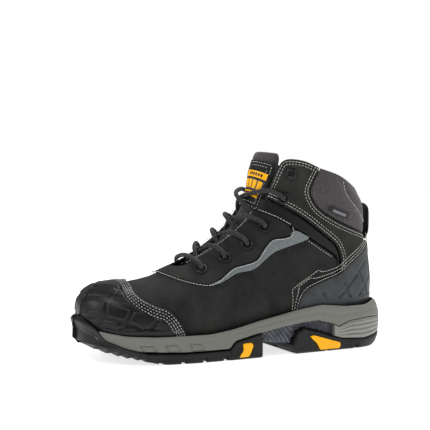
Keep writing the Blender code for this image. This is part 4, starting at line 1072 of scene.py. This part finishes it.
def facing_rows():
    """Two rows of stitches round the tongue's facing."""
    rows = []
    for inset in (1.6, 4.2):
        start, end = FACING_SPAN[0] + inset / 190, FACING_SPAN[1] - inset / 190
        us = np.linspace(start, end, 60)
        for side, table in ((-1, FACING_LATERAL), (1, FACING_MEDIAL)):
            rows.append((us, np.array([girth_at(u, side * (line_at(table, u) - inset)) for u in us])))
        for u in (start, end):
            ys = np.linspace(inset - line_at(FACING_LATERAL, u), line_at(FACING_MEDIAL, u) - inset, 24)
            rows.append((np.full(24, u), np.array([girth_at(u, y) for y in ys])))
    heights = [[swell(u, y) for u, y in zip(us, surface_point(us, vs)[:, 1])] for us, vs in rows]
    return [(us, vs, TONGUE_TOP + 0.35 + np.array(rise)) for (us, vs), rise in zip(rows, heights)]


def label_mark(name, start, end, left, right, height, thick, material):
    """A flat mark on the label, placed by shares of the label's length and width."""
    first, last = LABEL_SPAN
    lateral, medial = [], []
    for u in LABEL_SPAN:
        wide = line_at(LABEL_LATERAL, u) + line_at(LABEL_MEDIAL, u)
        lateral.append((u, line_at(LABEL_LATERAL, u) - 0.5 - left * (wide - 1)))
        medial.append((u, (right * (wide - 1)) + 0.5 - line_at(LABEL_LATERAL, u)))
    span = (first + start * (last - first), first + end * (last - first))
    low = TONGUE_TOP + height - 0.15
    piece = plate(name, *span, lateral, medial, low, low + thick, material, across=9, along=10)
    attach(piece, "tongue")


def plate(name, first, last, lateral, medial, low, high, material, across=25, along=50):
    """A thin plate on the tongue between two edges, with eased borders."""
    rings = []
    for u in np.linspace(first, last, along):
        y = np.linspace(-line_at(lateral, u), line_at(medial, u), across)
        rings.append([*on_tongue(u, y, high), *on_tongue(u, y, low)[::-1]])
    piece = weld(add_mesh(name, *bridged(rings), material, 40.0))
    bevel = piece.modifiers.new("edge", "BEVEL")
    bevel.width = min(0.25, 0.3 * (high - low)) * MM
    bevel.segments = 2
    bevel.angle_limit = math.radians(40)
    return piece


# ---------------------------------------------------------------- eyelets and lace

# The eyelet's section: radius and height.
RING_PROFILE = ((3.0, -1.8), (3.75, -1.8), (3.75, 0.3), (5.5, 0.3), (5.75, 0.65), (5.6, 1.15), (5.0, 1.6),
                (4.3, 1.72), (3.6, 1.5), (3.15, 1.0), (3.0, 0.4))
# A lace end on its way into an eyelet: distance in from its middle, and height over the leather.
INTO_EYELET = ((7.5, 4.4), (1.6, 4.2), (0.0, 1.5), (0.0, -2.6))
# Heights of the crossings on the ridge, from the toe up; the top one crosses nearer to the toe.
LACE_LOW, LACE_HIGH, LACE_TOP_LOW, LACE_TOP_HIGH, LACE_BAR = -0.4, 4.6, 0.8, 5.4, 4.6
CROSSING_SHARE, TOP_CROSSING_SHARE = 0.5, 0.38


def make_eyelets(mat):
    """Rolled black rings."""
    turns = round_the_circle(36)
    for side, label in SIDES:
        for number, place in enumerate(EYELETS):
            u, g = locate(*place)
            base = FACING_TOP_H if number < EYESTAY_EYELETS else 0.2
            centre = surface(u, side * g)
            outwards = np.array(Vector(normals(u, side * g)).to_track_quat("Z", "Y").to_matrix())
            rings = []
            for radius, height in RING_PROFILE:
                local = [radius * np.cos(turns), radius * np.sin(turns), np.full(len(turns), height + base)]
                rings.append(centre + (outwards @ np.stack(local)).T)
            name = f"{label}_ring_{number + 1}"
            piece = weld(add_mesh(name, *bridged(rings, closed=True), mat["metal"], 40.0))
            finished(piece, "boot", "black_metal", f"{label}_eyelet_{number + 1}")


def lace_route():
    """The laced part, as in the CAD: into each eyelet from outside and on under the edge."""
    places = [locate(*place) for place in EYELETS[:LACED_EYELETS]]
    bases = [FACING_TOP_H if level < EYESTAY_EYELETS else 0.0 for level in range(LACED_EYELETS)]

    def into(level, side):
        (u, g), base = places[level], bases[level]
        centre = surface(u, side * g)
        out = surface(u, side * g, 1.0) - centre
        inwards = surface(u, side * (g - 0.05)) - centre
        inwards = inwards / np.linalg.norm(inwards)
        return [centre + inwards * a + out * (base + h) for a, h in INTO_EYELET]

    def across(level, side, height):
        (u, g), (u_next, g_next), base = places[level], places[level + 1], bases[level]
        share = TOP_CROSSING_SHARE if level == LACED_EYELETS - 2 else CROSSING_SHARE
        return [
            surface(u + 0.004, side * (g - 0.02), base - 5.6),
            surface(u + 0.015, side * (g - 0.09), -2.6),
            surface(u + share * (u_next - u), 0.0, height),
            surface(u_next - 0.012, -side * (g_next - 0.105), max(4.4 + bases[level + 1], height)),
        ]

    def zigzag(side, heights):
        route = []
        for level, height in enumerate(heights):
            route += across(level, side, height) + into(level + 1, -side)
            side = -side
        return route

    first = zigzag(-1, [LACE_HIGH, LACE_LOW, LACE_HIGH, LACE_TOP_LOW])
    second = zigzag(1, [LACE_LOW, LACE_HIGH, LACE_LOW, LACE_TOP_HIGH])
    bar = into(0, -1)[::-1] + [surface(places[0][0], 0.0, LACE_BAR)] + into(0, 1)
    return first[::-1] + bar + second


def make_lace(mat):
    """The laced part in two halves, cut apart along the middle of the boot."""
    line = smooth_line(lace_route(), 10)
    for side, label in SIDES:
        whole = braid(f"{label}_lacing", line, LACE_D, mat["lace"])
        shape = bmesh.new()
        shape.from_mesh(whole.data)
        middle = to_frame((0, 0, 0))
        everything = shape.verts[:] + shape.edges[:] + shape.faces[:]
        bmesh.ops.bisect_plane(shape, geom=everything, plane_co=middle, plane_no=(0, -side, 0),
                               clear_outer=True)
        bmesh.ops.holes_fill(shape, edges=[e for e in shape.edges if e.is_boundary])
        shape.to_mesh(whole.data)
        shape.free()
        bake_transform(whole)
        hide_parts("lace")


def make_loose_ends(mat):
    """The two tucked-in ends of the lace; their aglets stay as CAD parts."""
    for (side, label), run in zip(SIDES, (LATERAL_RUN, MEDIAL_RUN)):
        u, g = locate(*EYELETS[LACED_EYELETS - 1])
        route = [surface(u, side * g, h) for h in (-3.1, -8.6)]
        route += [(x, side * y, z) for x, y, z in LACE_DROP + run]
        line = smooth_line(route, 10)
        cord = braid(f"{label}_tucked_end", line, LACE_END_D, mat["lace"])
        finished(cord, "boot", "lace", f"{label}_lace_end")


# ---------------------------------------------------------------- sole

CUP_FRONT_X, MIDSOLE_FRONT_X = -150.6, -151.2
NO_FLOOR = 99.0  # beyond the ends of a hollow its floor is out of reach, so the wall closes at its top
MARK_LOW_Z, MARK_HIGH_Z, MARK_LENGTH, MARK_SHEAR = 11.2, 17.0, 10.5, 0.55
LUG_SPACING, LUG_START = 20.0, -92.0
TOOTH_HEIGHT, TOOTH_LENGTH = 3.2, 7.6
GROOVE_HALF, GROOVE_TOP_HALF, GROOVE_BOTTOM_Z, GROOVE_TOP_Z = 2.4, 1.7, -5, 4.0


def line_at(line, x):
    return float(np.interp(x, [p[0] for p in line], [p[1] for p in line]))


def soft_line_at(line, x, reach=3.0):
    """Height of a side-view line with its corners eased."""
    return float(np.mean([line_at(line, x + reach * k) for k in (-1, -0.5, 0, 0.5, 1)]))


def sole_half(x, side, front=SOLE_FRONT_X, back=SOLE_BACK_X, inset=0.0):
    table = SOLE_LATERAL if side < 0 else SOLE_MEDIAL
    width = float(np.mean([np.interp(x + d, SOLE_X, table) for d in (-8, 0, 8)])) - inset
    toe = np.clip((TOE_ROUND_X - x) / (TOE_ROUND_X - front), 0, 1)
    heel = np.clip((x - HEEL_ROUND_X) / (back - HEEL_ROUND_X), 0, 1)
    return max(0.0, width * float(closing(toe, TOE_PLAN_POWER) * closing(heel, TOE_PLAN_POWER)))


def midsole_half(x, side):
    set_back = float(np.interp(x, [-125, -105], [3.0, 0.0]))
    return max(0.0, min(sole_half(x, side) - set_back, sole_half(x, side, front=MIDSOLE_FRONT_X)))


def cup_half(x, side):
    if not CUP_FRONT_X < x < CUP_BACK_X:
        return 0.0
    cup = sole_half(x, side, front=CUP_FRONT_X, back=CUP_BACK_X, inset=3.4)
    return max(0.0, min(cup, midsole_half(x, side) - 1.6))


def stations(first, last, step=1.5):
    """Places along the sole, close together where its ends are rounded."""
    tips = [SOLE_FRONT_X + d for d in (0.05, 0.3, 0.8, 1.6, 2.8)]
    tips += [SOLE_BACK_X - d for d in (0.02, 0.15, 0.5, 1.1, 2.0)]
    every = [*np.arange(first, last, step), last, *tips]
    chosen = sorted({round(float(x), 3) for x in every if first <= x <= last})
    return [x for k, x in enumerate(chosen) if k == 0 or x - chosen[k - 1] > 0.04]


def rounded_back(z, low, high, edge):
    """How far a wall with rounded edges is drawn in at a height."""
    gaps = [gap for gap in (z - low, high - z) if gap < edge]
    return sum(edge - math.sqrt(max(0.0, edge**2 - (edge - gap) ** 2)) for gap in gaps)


def walled(name, xs, bottom, top, half, material, relief, rows, edge, inner=None, floor=None, draft=None):
    """A layer of the sole with detailed side walls. relief(x, t) pushes a wall point outwards.

    draft(x, t) draws a wall in at the toe and the heel, by a distance along the boot.
    """
    rings = []
    for x in xs:
        ring, low, high = [], bottom(x), top(x)
        for side, _ in SIDES:
            wide = half(x, side)
            wall = []
            for t in np.linspace(0, 1, rows):
                z = low + (high - low) * t
                push = relief(x, t) * min(1.0, wide / 20)
                at = half(x + draft(x, t), side) if draft else wide
                out = min(at - rounded_back(z, low, high, edge) + push, wide + 1.2)
                wall.append((x, side * max(0.0, out), z))
            if inner:
                narrow = min(inner(x, side), wide)
                wall.append((x, side * min(narrow, wall[-1][1] * side), high))
                wall.append((x, side * narrow, min(floor(x), high)))
            ring += wall if side < 0 else wall[::-1]
        rings.append(ring)
    return weld(add_mesh(name, *bridged(rings), material, 38.0))


def mark_depth(x, z, start):
    """How far inside one of the midsole's slanted marks a wall point is."""
    shear = MARK_SHEAR * (MARK_HIGH_Z - z)
    return min(x - start - shear, start + MARK_LENGTH + shear - x, z - MARK_LOW_Z, MARK_HIGH_Z - z)


def midsole_relief(x, t):
    """A soft crease along the wall, and outlined slanted marks in the forefoot."""
    push = -0.5 * float(hump(t - 0.62 + 0.001 * x, 0.10)) * float(np.interp(x, [-60, -10, 130], [0, 1, 1]))
    push += 0.7 * math.sin(math.pi * t) * float(np.interp(x, [0, 40, 110], [0, 1, 0.4]))
    low, high = midsole_bottom(x), soft_line_at(RIM, x)
    for start in MARK_STARTS:
        depth = mark_depth(x, low + t * (high - low), start)
        push -= 1.1 * float(hump(depth, 0.55)) + 0.3 * float(smooth_step(depth, 0.0, 0.8))
    return push


def cradle_relief(x, t):
    """Ribs along the cradle, deeper towards the back of the heel."""
    strength = float(np.interp(x, [84, 100], [0.2, 1.0]))
    return 0.4 - 1.3 * strength * sum(float(hump(t - at, 0.045)) for at in (0.24, 0.48, 0.72, 0.92))


def shank_relief(x, t):
    """Slanted corrugation."""
    return 1.1 * math.cos((x + 0.62 * t * 18.0) * 2 * math.pi / 4.6) - 1.1


def notch_at(away, t, top):
    """Depth share of the gap between two lugs, which fades out towards a height."""
    return float(hump(away, 1.9, 4)) * float(np.clip((top - t) / 0.2, 0, 1))


def outsole_relief(x, t):
    """Notches between the lugs, the frame round the insert and the ledge of the toe bumper."""
    away = abs((x - LUG_START + LUG_SPACING / 2) % LUG_SPACING - LUG_SPACING / 2)
    ledge = float(np.interp(x, [-132, -122], [1.0, 0.0]))
    bumper = ledge * float(0.5 * hump(t - 0.86, 0.1) - 1.3 * hump(t - 0.68, 0.07))
    if -27 < x < 4:
        return bumper + 0.9 * (t < 0.95)
    return bumper - 1.8 * notch_at(away, t, 0.62) * (x > -106)


def heel_block_relief(x, t):
    fullness = 0.6 * math.sin(math.pi * t) * float(np.interp(x, [37, 60], [1, 0.3]))
    return fullness - 1.8 * notch_at(x - 108, t, 0.6)


def toe_draft(x, t):
    """The bumper runs in towards the ground."""
    return -9.0 * (1 - t) ** 1.6 - 2.8 * float(smooth_step(t, 0.75, 1.0)) if x < TOE_ROUND_X else 0.0


def heel_draft(low, high):
    """A wall that is drawn in at its foot by low and at its top by high, round the heel."""
    return lambda x, t: 1.2 + low * (1 - t) ** 2 + high * t**2 if x > HEEL_ROUND_X else 0.0


def toothed_ground(x):
    """The underside of the forefoot, with saw teeth where it turns up."""
    tooth = TOOTH_HEIGHT * (((x + 150) / TOOTH_LENGTH) % 1.0) if -150 < x < -105 else 0.0
    return line_at(OUTSOLE_GROUND, x) + tooth


def midsole_bottom(x):
    return soft_line_at(MIDSOLE_BOTTOM, x, 1.5)


def under_midsole(x):
    return midsole_bottom(x) - 0.4


def fore_floor(x):
    return line_at(MIDSOLE_BOTTOM, x) - 0.5


def fore_top(x):
    return max(fore_floor(x), soft_line_at(OUTSOLE_WALL, x, 1.5)) if x < -105 else fore_floor(x)


def shank_bottom(x):
    return line_at(SHANK_BOTTOM + [(block_x, z + 0.5) for block_x, z in HEEL_BLOCK_TOP], x)


def make_midsole(mat):
    floor = [(x, z - 0.8) for x, z in FLOOR]
    piece = walled("cup_midsole", stations(-151.15, SOLE_BACK_X, 0.9), midsole_bottom,
                   lambda x: max(soft_line_at(RIM, x), line_at(floor, x)), midsole_half, mat["midsole"],
                   midsole_relief, rows=26, edge=1.8, inner=cup_half,
                   floor=lambda x: line_at(floor, x) if CUP_FRONT_X < x < CUP_BACK_X else NO_FLOOR,
                   draft=heel_draft(0.0, 5.5))
    finished(piece, "boot", "midsole", "midsole")


def make_waist(mat):
    """The heel cradle and the shank, between the midsole and the outsole."""
    cradle = walled("ribbed_heel_cradle", stations(82.5, SOLE_BACK_X),
                    lambda x: line_at(HEEL_BLOCK_TOP, x) + 0.5, under_midsole, sole_half, mat["cradle"],
                    cradle_relief, rows=30, edge=0.8, draft=heel_draft(1.0, 0.0))
    finished(cradle, "boot", "midsole", "heel_cradle")
    shank = walled("ribbed_shank", np.arange(6.0, 82.2, 0.6), shank_bottom, under_midsole,
                   lambda x, side: sole_half(x, side, inset=5.0), mat["shank"], shank_relief,
                   rows=12, edge=0.8)
    finished(shank, "boot", "shank", "arch_shank")


def make_outsole(mat):
    cup_start = MIDSOLE_FRONT_X - 0.45
    outsole = walled("lugged_forefoot", stations(SOLE_FRONT_X, 5.0, 1.0), toothed_ground, fore_top,
                     sole_half, mat["rubber"], outsole_relief, rows=22, edge=2.0,
                     inner=lambda x, side: midsole_half(x + 0.6, side) + 0.5 if x > cup_start else 0.0,
                     floor=lambda x: fore_floor(x) if x > cup_start else NO_FLOOR, draft=toe_draft)
    heel = walled("lugged_heel", stations(37.0, SOLE_BACK_X, 1.0), lambda x: line_at(HEEL_BLOCK_GROUND, x),
                  lambda x: soft_line_at(HEEL_BLOCK_TOP, x, 1.0), sole_half, mat["rubber"],
                  heel_block_relief, rows=14, edge=2.0, draft=heel_draft(4.5, 1.0))
    cut_tread(outsole, (-132, -112, -92, -72, -52, -32))
    cut_tread(heel, (75, 108))
    for side, label in SIDES:
        inserts = ((outsole, "front", "forefoot", FORE_INSERT), (heel, "rear", "heel", HEEL_INSERT))
        for block, name, node, outline in inserts:
            boolean(block, side_block("pocket", outline, side, 6.0, 5.6, 0.5, mat["yellow"]))
            insert = side_block(f"{label}_{name}_insert", outline, side, 1.3, 5.0, 0.0, mat["yellow"])
            finished(insert, "boot", "yellow", f"{label}_{node}_insert")
    finished(outsole, "boot", "rubber", "outsole_forefoot")
    finished(heel, "boot", "rubber", "outsole_heel")


def boolean(piece, cutter):
    """Cuts one piece out of another, and removes the cutter."""
    modifier = piece.modifiers.new("cut", "BOOLEAN")
    modifier.operation = "DIFFERENCE"
    modifier.object = cutter
    bpy.context.view_layer.update()
    made = bpy.data.meshes.new_from_object(piece.evaluated_get(bpy.context.evaluated_depsgraph_get()))
    piece.modifiers.remove(modifier)
    piece.data = made
    bpy.data.objects.remove(cutter)


def cut_tread(piece, places):
    """Zigzag grooves across the tread and two straight ones along it."""
    low, high, wide, narrow = GROOVE_BOTTOM_Z, GROOVE_TOP_Z, GROOVE_HALF, GROOVE_TOP_HALF
    section = ((-wide, low), (wide, low), (narrow, high), (-narrow, high))
    across, along = [], []
    for x in places:
        rows = []
        for y in np.linspace(-80, 80, 17):
            middle = x + (2.2 if round(y / 10) % 2 else -2.2) * (1 if abs(y) < 45 else 0.4)
            rows.append([(middle + d, y, z) for d, z in section])
        across.append(bridged(rows))
    for y in (-19.0, 19.0):
        ends = (places[0] - 60, places[-1] + 60)
        along.append(bridged([[(x, y + d, z) for d, z in section] for x in ends]))
    for parts in (across, along):
        boolean(piece, weld(add_mesh("cutter", *joined(parts), piece.data.materials[0])))


def side_block(name, outline, side, proud, depth, grow, material):
    """A side-view outline with rounded corners as a block that follows the sole's side."""
    middle = np.mean(outline, axis=0)
    away = np.array(outline, float) - middle
    loop = middle + away * (1 + grow / np.linalg.norm(away, axis=1, keepdims=True))
    fine = []
    for a, b, c in zip(np.roll(loop, 1, axis=0), loop, np.roll(loop, -1, axis=0)):
        first = b + (a - b) * min(0.35, 2.0 / np.linalg.norm(a - b))
        last = b + (c - b) * min(0.35, 2.0 / np.linalg.norm(c - b))
        fine += [(1 - t) ** 2 * first + 2 * t * (1 - t) * b + t**2 * last for t in np.linspace(0, 1, 6)]
    rings = []
    for out, shrink in ((-depth, 1.0), (proud - 0.6, 1.0), (proud - 0.15, 0.985), (proud, 0.95)):
        ring = [middle + (p - middle) * shrink for p in fine]
        rings.append([(x, side * (sole_half(x, side) + out), z) for x, z in ring])
    return weld(add_mesh(name, *bridged(rings), material, 35.0))


# ---------------------------------------------------------------- trim

# The webbing's section, as shares of its half width and half thickness.
WEBBING_SECTION = ((-1, -0.5), (-1, 0.5), (-0.92, 1), (-0.6, 0.9), (0, 1), (0.6, 0.9), (0.92, 1), (1, 0.5),
                   (1, -0.5), (0.92, -1), (0, -1), (-0.92, -1))


def make_trim(mat):
    """The webbing pull loop at the heel."""
    line = even(smooth_line([(x, 0.0, z) for x, z in PULL_LOOP], 8), 1.0)
    across = np.array([0.0, 1.0, 0.0])
    rings = []
    for place, (_, level, out) in zip(line, frames_along(line)):
        over = np.cross(across, np.cross(out, level))
        over /= np.linalg.norm(over)
        rings.append([place + across * y * PULL_LOOP_WIDTH / 2 + over * h * 1.25 for y, h in WEBBING_SECTION])
    loop = weld(add_mesh("webbing_loop", *bridged(rings), mat["webbing"], 50.0))
    finished(loop, "boot", "webbing", "pull_loop")


def dress_hidden(mat):
    """Materials for CAD nodes that stay as they are."""
    slots = {"steel_toe_cap": "metal", "puncture_plate": "metal", "insole_board": "footbed",
             "heel_stiffener": "footbed", "footbed": "footbed", "lateral_aglet": "metal",
             "medial_aglet": "metal"}
    for node, slot in slots.items():
        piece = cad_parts[node]
        piece.data.materials.clear()
        piece.data.materials.append(mat[slot])


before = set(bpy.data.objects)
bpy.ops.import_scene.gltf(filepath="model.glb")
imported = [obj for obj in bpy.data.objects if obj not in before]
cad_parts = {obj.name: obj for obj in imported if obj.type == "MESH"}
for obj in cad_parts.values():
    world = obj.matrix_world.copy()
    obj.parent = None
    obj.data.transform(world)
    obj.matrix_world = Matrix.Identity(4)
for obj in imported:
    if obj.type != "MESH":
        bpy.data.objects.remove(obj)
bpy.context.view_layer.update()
studio()
materials = make_materials()
make_loose_ends(materials)
make_lace(materials)
make_midsole(materials)
make_waist(materials)
make_outsole(materials)
make_inside(materials)
make_upper(materials)
make_tongue(materials)
make_eyelets(materials)
make_stitching(materials)
make_trim(materials)
dress_hidden(materials)
